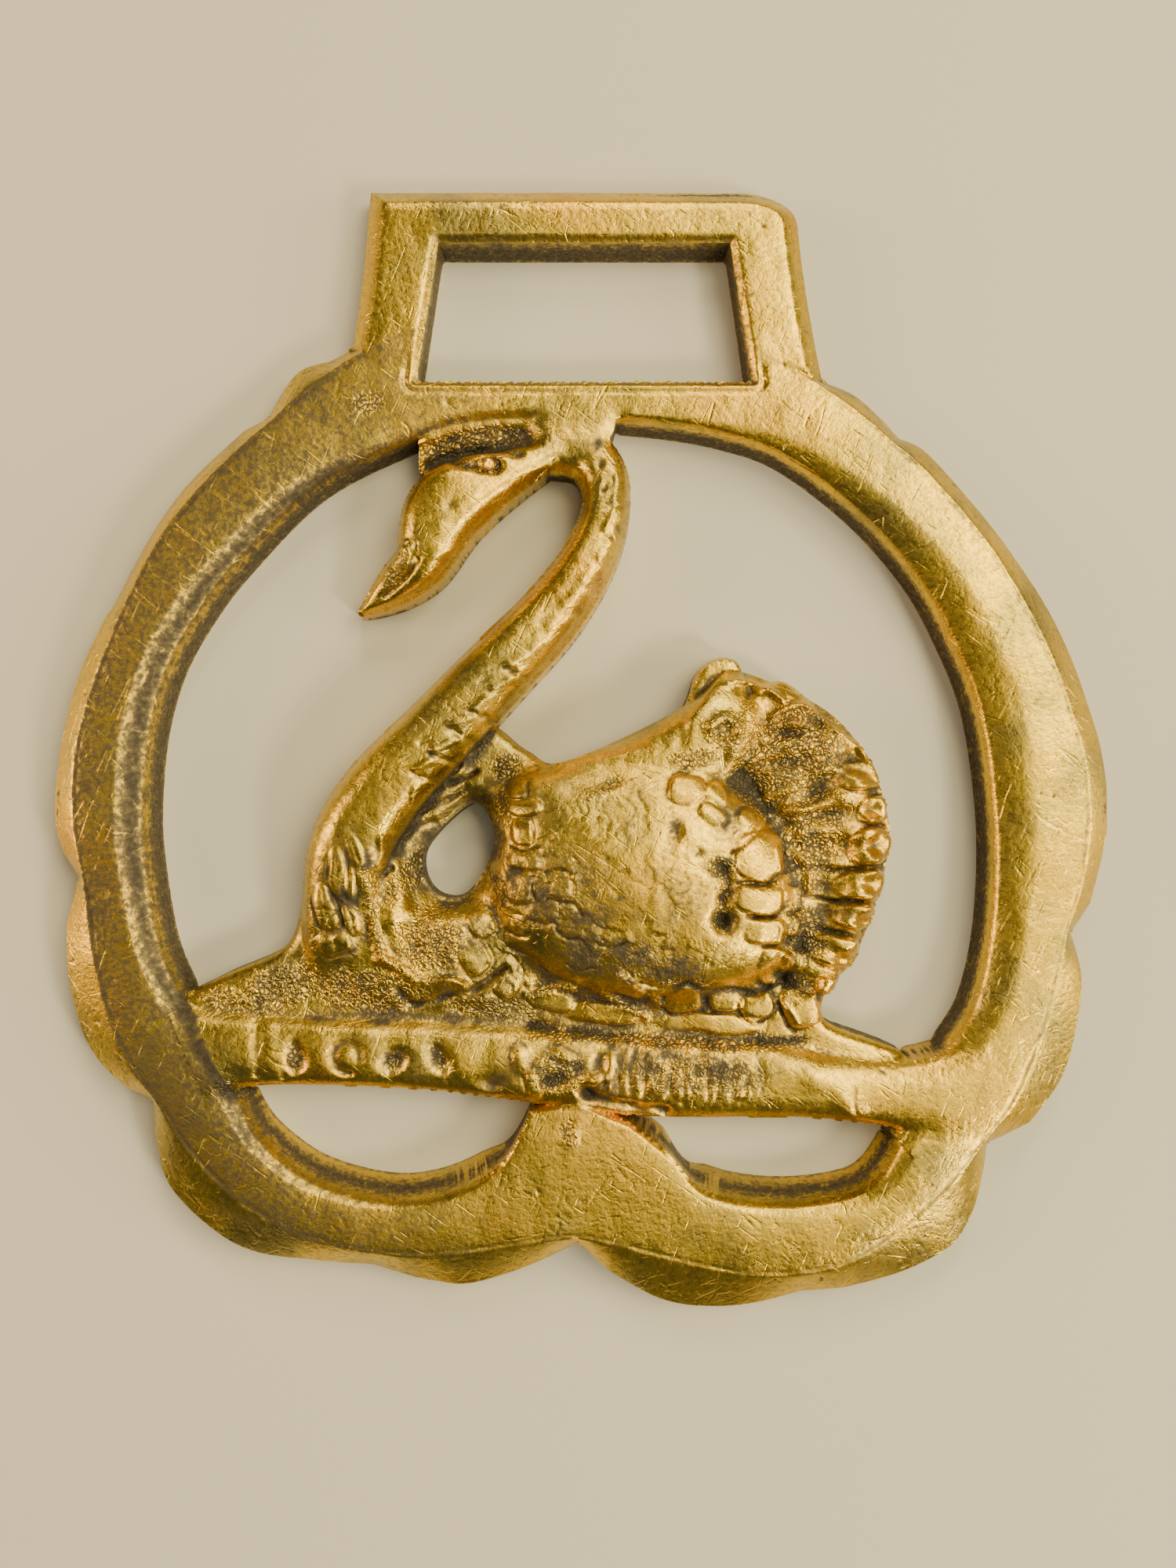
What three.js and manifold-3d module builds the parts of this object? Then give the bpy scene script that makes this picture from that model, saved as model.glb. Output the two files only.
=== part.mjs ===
// A cast horse brass: a scalloped open frame with a strap hanger on top and a swan on water inside.
// Millimetres. The flat back lies on z = 0, the relief rises along +Z and the hanger points to +Y.

import * as THREE from 'three';
import { mergeVertices } from 'three/addons/utils/BufferGeometryUtils.js';
import Module from 'manifold-3d';

const wasm = await Module();
wasm.setup();

// Frame: how far its scallops reach from the middle of the opening
const reachLeft = 42.2;
const reachRight = 44.0;
const reachDown = 45.4;
const shoulderHeight = 30.8;

// Main opening, which the swan fills
const openingWidth = 69.0;
const openingHeight = 64.0;

// Section of the frame
const frameHeight = 4.4;
const shoulderThickness = 3.6;
const rimBevel = 1.3;
const rimDrop = 1.7;
const wallDraft = 0.35;
const crescentDraft = 1.1;
const leftCreaseWidth = 2.2;
const rightCreaseWidth = 3.4;
const narrowCreaseWidth = 0.9;
const creaseDrop = 0.9;

// Hanger and the slot that the strap passes through
const hangerTopWidth = 35.2;
const hangerFootWidth = 39.4;
const hangerHeight = 15.4;
const hangerShift = 1.2;
const hangerBevel = 1.2;
const hangerRightCorner = 3.6;
const slotTopWidth = 23.8;
const slotFootWidth = 27.4;
const slotHeight = 11.4;
const strapBarHeight = 4.6;

// Swan: heights above the back
const plateHeight = 3.5;
const plateBevel = 0.4;
const waterHeight = 4.9;
const neckHeight = 6.8;
const headHeight = 5.9;
const webHeight = 2.5;
const eyeWidth = 1.8;
const knobWidth = 2.6;
const wingHeight = 8.2;
const fanHeight = 5.6;
const backHeight = 6.1;
const breastHeight = 4.8;
const featherRise = 0.7;
const scaleWidth = 2.6;
const dropletWidth = 1.7;
const dropletDepth = 0.8;

// Fineness of the round forms
const curveSteps = 4;
const lobeSides = 10;

const castBrass = new THREE.MeshStandardMaterial({ color: 0xb5953a, roughness: 0.36, metalness: 1.0 });

// A point of the opening, in hundredths of its width and height from its middle
function inOpening([across, up]) {
  return new THREE.Vector2(across * openingWidth / 100, up * openingHeight / 100);
}

// A point of the frame's outline, in hundredths of the reach on its own side
function onFrame([across, up]) {
  const side = across < 0 ? reachLeft : reachRight;
  const rise = up < 0 ? reachDown : shoulderHeight;
  return new THREE.Vector2(across * side / 100, up * rise / 100);
}

function smoothCurve(points, steps = curveSteps) {
  if (points.length < 3) {
    return points;
  }
  return new THREE.SplineCurve(points).getPoints((points.length - 1) * steps);
}

function smoothLoop(points, steps = curveSteps) {
  const loop = new THREE.CatmullRomCurve3(points.map((p) => new THREE.Vector3(p.x, p.y, 0)), true);
  return loop.getPoints(points.length * steps).slice(0, -1).map((p) => new THREE.Vector2(p.x, p.y));
}

// Solids: closed triangle shells that can be joined and cut
function solidFrom(geometry) {
  geometry.deleteAttribute('normal');
  geometry.deleteAttribute('uv');
  const merged = mergeVertices(geometry, 1e-4);
  const mesh = new wasm.Mesh({
    numProp: 3,
    vertProperties: new Float32Array(merged.attributes.position.array),
    triVerts: new Uint32Array(merged.index.array),
  });
  return new wasm.Manifold(mesh);
}

// Six times the volume inside the faces, below zero where they point inwards
function signedVolume(points, faces) {
  let sum = 0;
  for (let i = 0; i < faces.length; i += 3) {
    const [a, b, c] = [faces[i], faces[i + 1], faces[i + 2]].map((index) => points[index]);
    sum += a.dot(b.clone().cross(c));
  }
  return sum;
}

function shellFrom(points, faces) {
  const outward = signedVolume(points, faces) > 0 ? faces : faces.toReversed();
  const geometry = new THREE.BufferGeometry().setFromPoints(points);
  geometry.setIndex(outward);
  return solidFrom(geometry);
}

// Rows of points joined into a skin: a closed ring of rows, or a run of rows capped at both ends
function skinRows(rows, isRing) {
  const width = rows[0].length;
  const points = rows.flat();
  const faces = [];
  const spans = isRing ? rows.length : rows.length - 1;
  for (let row = 0; row < spans; row += 1) {
    const next = (row + 1) % rows.length;
    for (let i = 0; i < width; i += 1) {
      const j = (i + 1) % width;
      const corners = [row * width + i, row * width + j, next * width + j, next * width + i];
      faces.push(corners[0], corners[1], corners[2], corners[0], corners[2], corners[3]);
    }
  }
  if (!isRing) {
    for (const [row, turned] of [[0, true], [rows.length - 1, false]]) {
      const middle = new THREE.Vector3();
      rows[row].forEach((p) => middle.addScaledVector(p, 1 / width));
      points.push(middle);
      for (let i = 0; i < width; i += 1) {
        const edge = [row * width + i, row * width + (i + 1) % width];
        faces.push(...(turned ? [edge[1], edge[0]] : edge), points.length - 1);
      }
    }
  }
  return shellFrom(points, faces);
}

// A raised form whose outline shrinks towards its middle as it rises, like a pebble cut flat below
function dome(outline, floorHeight, topHeight, tiers = 3, fullness = 2) {
  const middle = new THREE.Vector2();
  outline.forEach((p) => middle.addScaledVector(p, 1 / outline.length));
  const rows = [outline.map((p) => new THREE.Vector3(p.x, p.y, -1))];
  for (let tier = 0; tier < tiers; tier += 1) {
    const reach = 1 - tier / tiers;
    const height = floorHeight + (topHeight - floorHeight) * (1 - reach ** fullness) ** (1 / fullness);
    rows.push(outline.map((p) => {
      const q = middle.clone().lerp(p, reach);
      return new THREE.Vector3(q.x, q.y, height);
    }));
  }
  const nearTop = 0.02;
  rows.push(outline.map((p) => {
    const q = middle.clone().lerp(p, nearTop);
    return new THREE.Vector3(q.x, q.y, topHeight);
  }));
  return skinRows(rows, false);
}

// An egg-shaped outline, long along its turn, its far end the broader one
function egg(centre, length, width, turn, broadening) {
  const points = [];
  for (let i = 0; i < lobeSides; i += 1) {
    const angle = i / lobeSides * 2 * Math.PI;
    const half = width / 2 * (1 + broadening * Math.cos(angle));
    const point = new THREE.Vector2(Math.cos(angle) * length / 2, Math.sin(angle) * half);
    points.push(point.rotateAround(new THREE.Vector2(), turn).add(centre));
  }
  return points;
}

// A feather lobe: an egg-shaped dome
function lobe(centre, length, width, turn, floorHeight, topHeight, broadening = 0) {
  return dome(egg(centre, length, width, turn, broadening), floorHeight, topHeight, 2);
}

// A straight-sided block of any outline, with its upper edge bevelled
function plate(outline, height, bevel) {
  const shape = new THREE.Shape(outline);
  const geometry = new THREE.ExtrudeGeometry(shape, {
    depth: height,
    bevelEnabled: bevel > 0,
    bevelThickness: bevel,
    bevelSize: bevel,
    bevelOffset: -bevel,
    bevelSegments: 1,
  });
  geometry.translate(0, 0, -bevel);
  return solidFrom(geometry);
}

// A limb swept along a line of [x, y, half width, height] stations, round above and flat below
function limb(stations) {
  const centres = stations.map((s) => new THREE.Vector2(s[0], s[1]));
  const rows = stations.map(([x, y, half, height], i) => {
    const before = centres[Math.max(i - 1, 0)];
    const after = centres[Math.min(i + 1, centres.length - 1)];
    const along = after.clone().sub(before).normalize();
    const across = new THREE.Vector2(along.y, -along.x);
    const section = [[-1, -1], [-1, 0.45 * height], [-0.72, 0.84 * height], [-0.3, 0.98 * height],
      [0.3, 0.98 * height], [0.72, 0.84 * height], [1, 0.45 * height], [1, -1]];
    return section.map(([side, z]) => {
      const reach = half * side;
      return new THREE.Vector3(x + across.x * reach, y + across.y * reach, z);
    });
  });
  return skinRows(rows, false);
}

// A line's radius from the middle of the opening, read at any angle
function polarReader(line) {
  const marks = line.map((p) => ({ angle: (p.angle() + 2 * Math.PI) % (2 * Math.PI), radius: p.length() }));
  marks.sort((a, b) => a.angle - b.angle);
  const radiusAt = (angle) => {
    const found = marks.findIndex((m) => m.angle > angle);
    const after = marks[found < 0 ? 0 : found];
    const before = marks[(found < 1 ? marks.length : found) - 1];
    const turn = 2 * Math.PI;
    const span = (after.angle - before.angle + turn) % turn;
    const share = span === 0 ? 0 : ((angle - before.angle + turn) % turn) / span;
    return before.radius + (after.radius - before.radius) * share;
  };
  return { angles: marks.map((m) => m.angle), radiusAt };
}

// Scallops of the frame, each a curve from notch to notch, running anticlockwise from the right shoulder
const scallops = [
  [[48, 99], [53.5, 95.5], [58.5, 89]],
  [[61.5, 84], [66.4, 80.4], [73.6, 69], [81.6, 54.4], [90.4, 34.6], [96.4, 13.5], [99.6, -2.8], [100, -14.2],
    [97, -27]],
  [[93.3, -32.5], [95.3, -40.4], [94.6, -48.4], [91.7, -58.5], [85.7, -66.7]],
  [[77.8, -70.4], [76.9, -76], [75, -83], [71, -89], [62, -93.6], [51.8, -96.4]],
  [[43, -97.2], [35, -99.2], [26, -100], [17, -98.6], [7.8, -93.8]],
  [[1.5, -88.3]],
  [[-11.4, -93.8], [-20.6, -95.9], [-29.7, -94.7]],
  [[-37.7, -92.4], [-49.5, -91.6], [-62, -89.8], [-71.2, -84.6], [-78, -77.6], [-80.5, -69]],
  [[-81, -62.9], [-87.7, -59.2], [-93.8, -52.2], [-97.2, -41], [-97.7, -31.2]],
  [[-95.3, -22.4], [-98.7, -17], [-100, -9.5], [-98.6, 3], [-95.3, 20.6], [-90, 36.5]],
  [[-89, 38], [-81.1, 58.3], [-73.8, 72.3], [-63.6, 86]],
  [[-59, 89.4], [-53.4, 101.5], [-46.5, 105]],
];

// Inner edge of the frame: the main opening, then the lower sides of the two crescents
const openingEdge = [[45, -36.6], [47.6, -31.8], [49.4, -23.4], [50, -13], [49.5, -4], [47.9, 6], [45, 14],
  [41, 21.9], [34.5, 30], [25.6, 37.4], [18.5, 40.3], [10, 41.9], [-2, 42.7], [-11.5, 42.2], [-18.5, 40],
  [-29.9, 33.8], [-39.1, 23.9], [-43.8, 17.2], [-47.2, 10.5], [-49.2, 3], [-50, -5], [-49.9, -12.5],
  [-48.3, -23.4], [-46, -29.8], [-43.7, -33.5]];
const leftCrescentEdge = [[-39.1, -43.3], [-36.2, -48.9], [-29.4, -54.5], [-19, -56.8], [-9.1, -53.1],
  [-4.4, -45.1]];
const crescentPeak = [0.9, -43.8];
const rightCrescentEdge = [[6.8, -46.6], [11.5, -50.6], [16.2, -55.6], [25.3, -57.2], [34.5, -55.4], [38.4, -50.2],
  [38.2, -48.4]];

// Half the cosine wave makes the side bands broad and the top and bottom ones narrow
function creaseWidthAt(angle) {
  const sideways = Math.cos(angle);
  const broad = sideways < 0 ? leftCreaseWidth : rightCreaseWidth;
  return narrowCreaseWidth + (broad - narrowCreaseWidth) * sideways ** 2;
}

function frameTopAt(angle) {
  const upwards = THREE.MathUtils.smoothstep(Math.sin(angle), 0.35, 0.95);
  return frameHeight + (shoulderThickness - frameHeight) * upwards;
}

function draftAt(angle) {
  const downwards = THREE.MathUtils.smoothstep(-Math.sin(angle), 0.6, 0.95);
  return wallDraft + (crescentDraft - wallDraft) * downwards;
}

function makeFrame() {
  const outer = polarReader(scallops.flatMap((points) => smoothCurve(points.map(onFrame), 2)));
  const inner = polarReader([openingEdge, leftCrescentEdge, [crescentPeak], rightCrescentEdge]
    .flatMap((points) => smoothCurve(points.map(inOpening), 2)));
  const nearest = 0.012;
  const angles = [...outer.angles, ...inner.angles].sort((a, b) => a - b)
    .filter((angle, i, all) => i === 0 || angle - all[i - 1] > nearest);
  const rows = angles.map((angle) => {
    const outside = outer.radiusAt(angle);
    const inside = inner.radiusAt(angle);
    const top = frameTopAt(angle);
    const bevel = Math.min(rimBevel, (outside - inside) * 0.25);
    const crease = Math.min(creaseWidthAt(angle), (outside - inside) * 0.4);
    const section = [[outside, -1], [outside, top - rimDrop], [outside - bevel * 0.35, top - rimDrop * 0.4],
      [outside - bevel, top], [inside + crease, top], [inside + narrowCreaseWidth * 0.25, top - creaseDrop],
      [inside, top - creaseDrop * 1.4], [inside - draftAt(angle), -1]];
    const [across, up] = [Math.cos(angle), Math.sin(angle)];
    return section.map(([radius, z]) => new THREE.Vector3(across * radius, up * radius, z));
  });
  return skinRows(rows, true);
}

// A four-sided outline that widens towards its foot
function taper(middle, topHeight, height, topWidth, footWidth) {
  return [
    new THREE.Vector2(middle - footWidth / 2, topHeight - height),
    new THREE.Vector2(middle + footWidth / 2, topHeight - height),
    new THREE.Vector2(middle + topWidth / 2, topHeight),
    new THREE.Vector2(middle - topWidth / 2, topHeight),
  ];
}

const hangerTop = shoulderHeight + hangerHeight;

// The hanger flares towards its foot, and its right upper corner is worn rounder than its left one
function makeHanger() {
  const flare = (hangerFootWidth - hangerTopWidth) / 2;
  const left = hangerShift - hangerTopWidth / 2;
  const right = hangerShift + hangerTopWidth / 2;
  const middle = hangerTop - hangerHeight * 0.55;
  const shape = new THREE.Shape();
  shape.moveTo(left - flare, shoulderHeight - 1);
  shape.lineTo(right + flare, shoulderHeight - 1);
  shape.quadraticCurveTo(right + flare * 0.2, middle, right, hangerTop - hangerRightCorner);
  shape.quadraticCurveTo(right, hangerTop, right - hangerRightCorner * 1.6, hangerTop);
  shape.lineTo(left, hangerTop);
  shape.quadraticCurveTo(left - flare * 0.2, middle, left - flare, shoulderHeight - 1);
  return plate(shape.getPoints(curveSteps).slice(1), shoulderThickness, hangerBevel);
}

function makeSlot() {
  const outline = taper(hangerShift, hangerTop - strapBarHeight, slotHeight, slotTopWidth, slotFootWidth);
  const cutter = plate(outline, shoulderThickness * 3, 0);
  return cutter.translate(0, 0, -shoulderThickness);
}

// Low ground plate of the swan, from the breast along the back to the tail
function makePlate() {
  const outline = [[-26, -3], [-30.4, -11], [-31.8, -20], [-34, -25], [-42, -29], [-47, -33], [-40, -40],
    [-20, -41], [5, -41.5], [32, -43], [40, -39], [30.5, -34.5], [30.9, -30], [34, -26], [37, -17], [38, -10],
    [36, -2], [31.5, 4.5], [25, 8.5], [18.6, 10.4], [14.5, 6.6], [7, 2.2], [-1.5, -1.4], [-5.4, 0.4], [-12, 4]];
  return plate(smoothLoop(outline.map(inOpening), 2), plateHeight, plateBevel);
}

// Water bar that joins both sides of the frame under the swan
function makeWater() {
  const upperEdge = [[-47, -32], [-38, -33.3], [-20, -34], [0, -35.3], [20, -36.6], [32, -38.8], [41, -39],
    [49, -36]];
  const lowerEdge = [[-42, -44], [-36, -42.3], [-18, -42.8], [-4, -44.5], [10, -46.3], [27, -46.4], [38, -47.6],
    [46, -50]];
  const rows = smoothCurve(upperEdge.map(inOpening), 2).map((upper, i, all) => {
    const lower = new THREE.SplineCurve(lowerEdge.map(inOpening)).getPoint(i / (all.length - 1));
    const section = [[0, -1], [0, 0.7], [0.18, 0.97], [0.5, 1], [0.8, 0.94], [1, 0.72], [1, -1]];
    return section.map(([share, rise]) => {
      const place = upper.clone().lerp(lower, share);
      return new THREE.Vector3(place.x, place.y, rise < 0 ? rise : rise * waterHeight);
    });
  });
  return skinRows(rows, false);
}

// Neck and head, as [across, up, half width, height] in hundredths of the opening and of the neck's height
const neckLine = [[-27.4, -26, 4.2, 68], [-26.8, -19, 4.8, 82], [-25.6, -12, 5, 94], [-22.2, -5.4, 4.8, 100],
  [-15.4, 2.5, 4.4, 102], [-8, 10.9, 4.1, 100], [-2.3, 17.4, 3.8, 96], [1.9, 23.9, 3.3, 91],
  [4.1, 29.9, 2.9, 86], [4.1, 35, 2.9, 80], [1.4, 38.6, 3, 72], [-2.2, 38.6, 2.6, 70]];
const headLine = [[-2, 38.2, 1.6, 84], [-6.4, 36, 2.6, 92], [-11.6, 33.4, 4.1, 98], [-15, 30.4, 4.6, 100],
  [-17.3, 24.6, 3.3, 96], [-19.9, 21.9, 2.7, 80], [-22.4, 19.8, 1.7, 62], [-24.7, 18, 0.5, 50]];

function swept(line, fullHeight) {
  const places = new THREE.SplineCurve(line.map(inOpening));
  const sizes = new THREE.SplineCurve(line.map((s) => new THREE.Vector2(s[2], s[3])));
  const count = (line.length - 1) * 2;
  const stations = [];
  for (let i = 0; i <= count; i += 1) {
    const place = places.getPoint(i / count);
    const size = sizes.getPoint(i / count);
    stations.push([place.x, place.y, size.x * openingWidth / 100, size.y * fullHeight / 100]);
  }
  return limb(stations);
}

function makeHead() {
  const head = swept(headLine, headHeight);
  const webOutline = [[-18, 36], [-17.6, 41], [-2, 43], [-2, 37], [-8, 34]].map(inOpening);
  const web = plate(webOutline, webHeight, plateBevel);
  const eyeTop = headHeight - 0.4;
  const eye = lobe(inOpening([-10, 36.9]), eyeWidth, eyeWidth * 0.65, 0.2, eyeTop - featherRise, eyeTop);
  const knobTop = headHeight - 0.3;
  const knob = lobe(inOpening([-19.6, 23.6]), knobWidth, knobWidth * 0.7, 1.2, knobTop - featherRise * 2, knobTop);
  return [head, web, eye, knob];
}

// Overlapping feathers down the hind side of the neck
function makeNeckFeathers() {
  const neck = new THREE.SplineCurve(neckLine.map(inOpening));
  const count = 9;
  const feathers = [];
  for (let i = 0; i < count; i += 1) {
    const share = 0.12 + 0.5 * i / (count - 1);
    const place = neck.getPoint(share);
    const along = neck.getTangent(share);
    const across = new THREE.Vector2(along.y, -along.x);
    place.addScaledVector(across, scaleWidth * 0.55);
    const top = neckHeight * 0.86 + featherRise * 0.5;
    const turn = along.angle() + 0.35;
    feathers.push(lobe(place, scaleWidth * 1.5, scaleWidth * 0.8, turn, top - featherRise, top));
  }
  return feathers;
}

function makeBody() {
  const wing = [[-6.4, -4], [3, -1.8], [14.3, -2], [21.6, -6.6], [25.3, -14.9], [24.6, -26], [15, -30.2],
    [3, -29.6], [-6.6, -23.5], [-8.8, -13]].map(inOpening);
  const back = [[-3.6, -3], [7, 1.6], [14.8, 6.6], [18.5, 9.6], [22, 4], [17, -6], [5, -10]].map(inOpening);
  const breast = [[-30, -12], [-31, -21], [-28, -29.5], [-18, -32], [-6, -31], [-4, -24], [-10, -20],
    [-18, -20], [-21, -12]].map(inOpening);
  return [
    dome(smoothLoop(wing, 2), plateHeight * 1.35, wingHeight, 4),
    dome(smoothLoop(back, 2), plateHeight, backHeight),
    dome(breast, plateHeight, breastHeight, 2),
  ];
}

// Tail fan: ribs that spread from its root under the wing to round ends, by their degrees of turn
const fanRoot = [12.5, -13];
const fanRibs = [75, 53, 35, 20, 8, -3, -14, -26, -40];
const fanReach = 24.2 * openingWidth / 100;

function fanPoint(degrees, share) {
  const reach = new THREE.Vector2(fanReach * share, 0);
  return reach.rotateAround(new THREE.Vector2(), THREE.MathUtils.degToRad(degrees)).add(inOpening(fanRoot));
}

function makeFan() {
  const ribs = fanRibs.map((degrees, i) => {
    const before = fanRibs[i - 1] ?? degrees + 12;
    const after = fanRibs[i + 1] ?? degrees - 14;
    const width = THREE.MathUtils.degToRad((before - after) / 2) * fanReach * 0.9;
    const turn = THREE.MathUtils.degToRad(degrees);
    return lobe(fanPoint(degrees, 0.7), fanReach * 0.6, width, turn, fanHeight - featherRise * 2, fanHeight, 0.45);
  });
  return ribs;
}

// Second row of the fan: shorter lobes that lap over the ribs from the wing's edge
function makeCoverts() {
  return [92, 72, 16, -14, -34, -50].map((degrees) => {
    const turn = THREE.MathUtils.degToRad(degrees);
    const top = wingHeight - featherRise * 1.5;
    return lobe(fanPoint(degrees, 0.43), scaleWidth * 1.75, scaleWidth * 1.3, turn, top - featherRise * 1.5, top);
  });
}

// Round scales in columns on the shoulder, and long feathers along the lower edge of the wing
function makeScales() {
  const scales = [];
  const columns = 2;
  const rows = 6;
  for (let column = 0; column < columns; column += 1) {
    for (let row = 0; row < rows; row += 1) {
      const share = row / (rows - 1);
      const sway = 1.4 * Math.sin(share * Math.PI) * (column - 1);
      const place = inOpening([-6.2 + column * 4 + sway, -4.6 - share * 23]);
      const top = plateHeight * 1.55 + column * featherRise;
      scales.push(lobe(place, scaleWidth * 1.3, scaleWidth * 1.2, 0, top - featherRise * 1.2, top));
    }
  }
  return scales;
}

function makeFlightFeathers() {
  const top = waterHeight + featherRise;
  const long = [[-0.5, -31.8], [14, -34]].map((at) => {
    return lobe(inOpening(at), scaleWidth * 3, scaleWidth, -0.12, plateHeight, top);
  });
  const short = [13.8, 18.4, 22.5].map((across) => {
    const place = inOpening([across, -32]);
    return lobe(place, scaleWidth * 1.3, scaleWidth * 0.9, 0, plateHeight, top + featherRise * 0.4);
  });
  const tailEnd = lobe(inOpening([27.6, -33.2]), scaleWidth * 1.3, scaleWidth * 1.15, 1.2, plateHeight, top);
  return [...long, ...short, tailEnd];
}

// Window between the neck and the wing
function makeWindow() {
  const outline = [[-11.6, -6.5], [-9, -9.4], [-9.3, -13.2], [-12.4, -18.2], [-15.6, -18.2], [-17.4, -15.5],
    [-16.8, -11.6]].map(inOpening);
  const cutter = plate(smoothLoop(outline, 2), wingHeight * 3, 0);
  return cutter.translate(0, 0, -wingHeight);
}

// Droplets punched into the water bar, at hundredths of the opening's width
const dropletPlaces = [-31.8, -25.8, -20.4, -14.9];

function makeDroplets() {
  return dropletPlaces.map((across) => {
    const drop = new THREE.SphereGeometry(dropletWidth / 2, 8, 5);
    drop.scale(0.9, 1.5, 2 * dropletDepth / dropletWidth);
    const place = inOpening([across, -38.6]);
    drop.translate(place.x, place.y, waterHeight);
    return solidFrom(drop);
  });
}

function makeCasting() {
  const neck = swept(neckLine, neckHeight);
  const raised = [makeFrame(), makeHanger(), makePlate(), makeWater(), neck, ...makeHead(), ...makeNeckFeathers(),
    ...makeBody(), ...makeFan(), ...makeCoverts(), ...makeScales(), ...makeFlightFeathers()];
  const joined = raised.reduce((whole, piece) => whole.add(piece));
  const ground = new THREE.BoxGeometry(4 * openingWidth, 4 * openingWidth, 10);
  ground.translate(0, 0, -5);
  const cuts = [makeSlot(), makeWindow(), ...makeDroplets(), solidFrom(ground)];
  return cuts.reduce((whole, piece) => whole.subtract(piece), joined);
}

function geometryFrom(solid) {
  const mesh = solid.getMesh();
  const geometry = new THREE.BufferGeometry();
  geometry.setAttribute('position', new THREE.Float32BufferAttribute(mesh.vertProperties, 3));
  geometry.setIndex(Array.from(mesh.triVerts));
  geometry.computeBoundingBox();
  const middle = geometry.boundingBox.getCenter(new THREE.Vector3());
  geometry.translate(-middle.x, -middle.y, 0);
  return geometry;
}

const horseBrass = new THREE.Mesh(geometryFrom(makeCasting()), castBrass);
horseBrass.name = 'horse_brass';

const group = new THREE.Group();
group.add(horseBrass);

export default group;
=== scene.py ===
"""A cast horse brass with a swan, dressed as polished and tarnished yellow brass.

The casting is one relief. A fine grid is laid over its back, every form of the frame, hanger, water and swan
raises the grid's height map, and the grid is then trimmed to the outline and drawn down to the flat back.
Sizes are millimetres in the frame of the solid model, and the meshes are made in metres.
"""

import logging
import math
from dataclasses import dataclass, field
from enum import Enum
from typing import Any, Callable, Sequence

import bmesh
import bpy
import numpy as np
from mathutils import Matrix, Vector


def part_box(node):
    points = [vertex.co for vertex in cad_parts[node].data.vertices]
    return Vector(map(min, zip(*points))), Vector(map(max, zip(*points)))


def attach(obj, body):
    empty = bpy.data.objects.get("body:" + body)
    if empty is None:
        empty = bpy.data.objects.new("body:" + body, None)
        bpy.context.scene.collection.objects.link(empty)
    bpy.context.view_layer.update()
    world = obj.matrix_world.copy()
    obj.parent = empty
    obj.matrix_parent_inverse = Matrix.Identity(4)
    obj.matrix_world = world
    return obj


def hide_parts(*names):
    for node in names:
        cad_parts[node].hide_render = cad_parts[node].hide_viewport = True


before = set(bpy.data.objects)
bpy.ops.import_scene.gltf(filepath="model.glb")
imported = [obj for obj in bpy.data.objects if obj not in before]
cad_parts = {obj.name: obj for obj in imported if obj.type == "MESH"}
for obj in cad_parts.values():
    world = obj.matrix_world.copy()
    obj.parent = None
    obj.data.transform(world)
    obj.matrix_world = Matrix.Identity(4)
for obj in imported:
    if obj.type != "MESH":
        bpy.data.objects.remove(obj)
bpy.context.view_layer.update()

LOG = logging.getLogger("horse_brass")
METRE = 0.001
TINY = 1e-12
FAR = 1e9
Pair = tuple[float, float]
Line = tuple[Pair, ...]
Rows = tuple[tuple[float, ...], ...]
Array = np.ndarray
Window = tuple[slice, slice]


def linear(hex_colour: str) -> tuple[float, float, float, float]:
    """Turn an sRGB hex colour into a linear colour.

    Args:
        hex_colour: six hex digits.

    Returns:
        Red, green, blue and an alpha of one.
    """
    parts = [int(hex_colour[i:i + 2], 16) / 255 for i in (0, 2, 4)]
    red, green, blue = (p / 12.92 if p <= 0.04045 else ((p + 0.055) / 1.055) ** 2.4 for p in parts)
    return red, green, blue, 1.0


def add_node(tree: bpy.types.NodeTree, kind: str, settings: dict[str, Any] | None = None,
             links: dict[str, Any] | None = None) -> bpy.types.Node:
    """Add a shader node with its settings and incoming links.

    Args:
        tree: node tree that gets the node.
        kind: type name of the node, without the ShaderNode that they all start with.
        settings: node properties, or socket values where no property has the name.
        links: socket name or number to the output socket that feeds it.

    Returns:
        The new node.
    """
    node = tree.nodes.new("ShaderNode" + kind)
    for name, value in (settings or {}).items():
        if isinstance(name, str) and hasattr(node, name):
            setattr(node, name, value)
        else:
            node.inputs[name].default_value = value
    for name, source in (links or {}).items():
        tree.links.new(source, node.inputs[name])
    return node


def smoothstep(low: float, high: float, value: Array) -> Array:
    """Ease from nought to one as the value goes from low to high."""
    share = np.clip((value - low) / (high - low), 0.0, 1.0)
    return share * share * (3.0 - 2.0 * share)


def soft_max(first: Array, second: Array, fillet: float) -> Array:
    """Give the greater of two heights, with a fillet where they meet."""
    return 0.5 * (first + second + np.sqrt((first - second) ** 2 + fillet ** 2)) - fillet * 0.12


def places_of(data: bpy.types.Mesh) -> Array:
    """Read the places of a mesh's points, one to a row.

    Args:
        data: mesh to read.

    Returns:
        Points, one to a row.
    """
    places = np.zeros((len(data.vertices), 3))
    data.vertices.foreach_get("co", places.ravel())
    return places


def bell(value: Array, width: float) -> Array:
    """Fade from one at nought to nothing, with a width."""
    return np.exp(-(value / width) ** 2)


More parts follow.
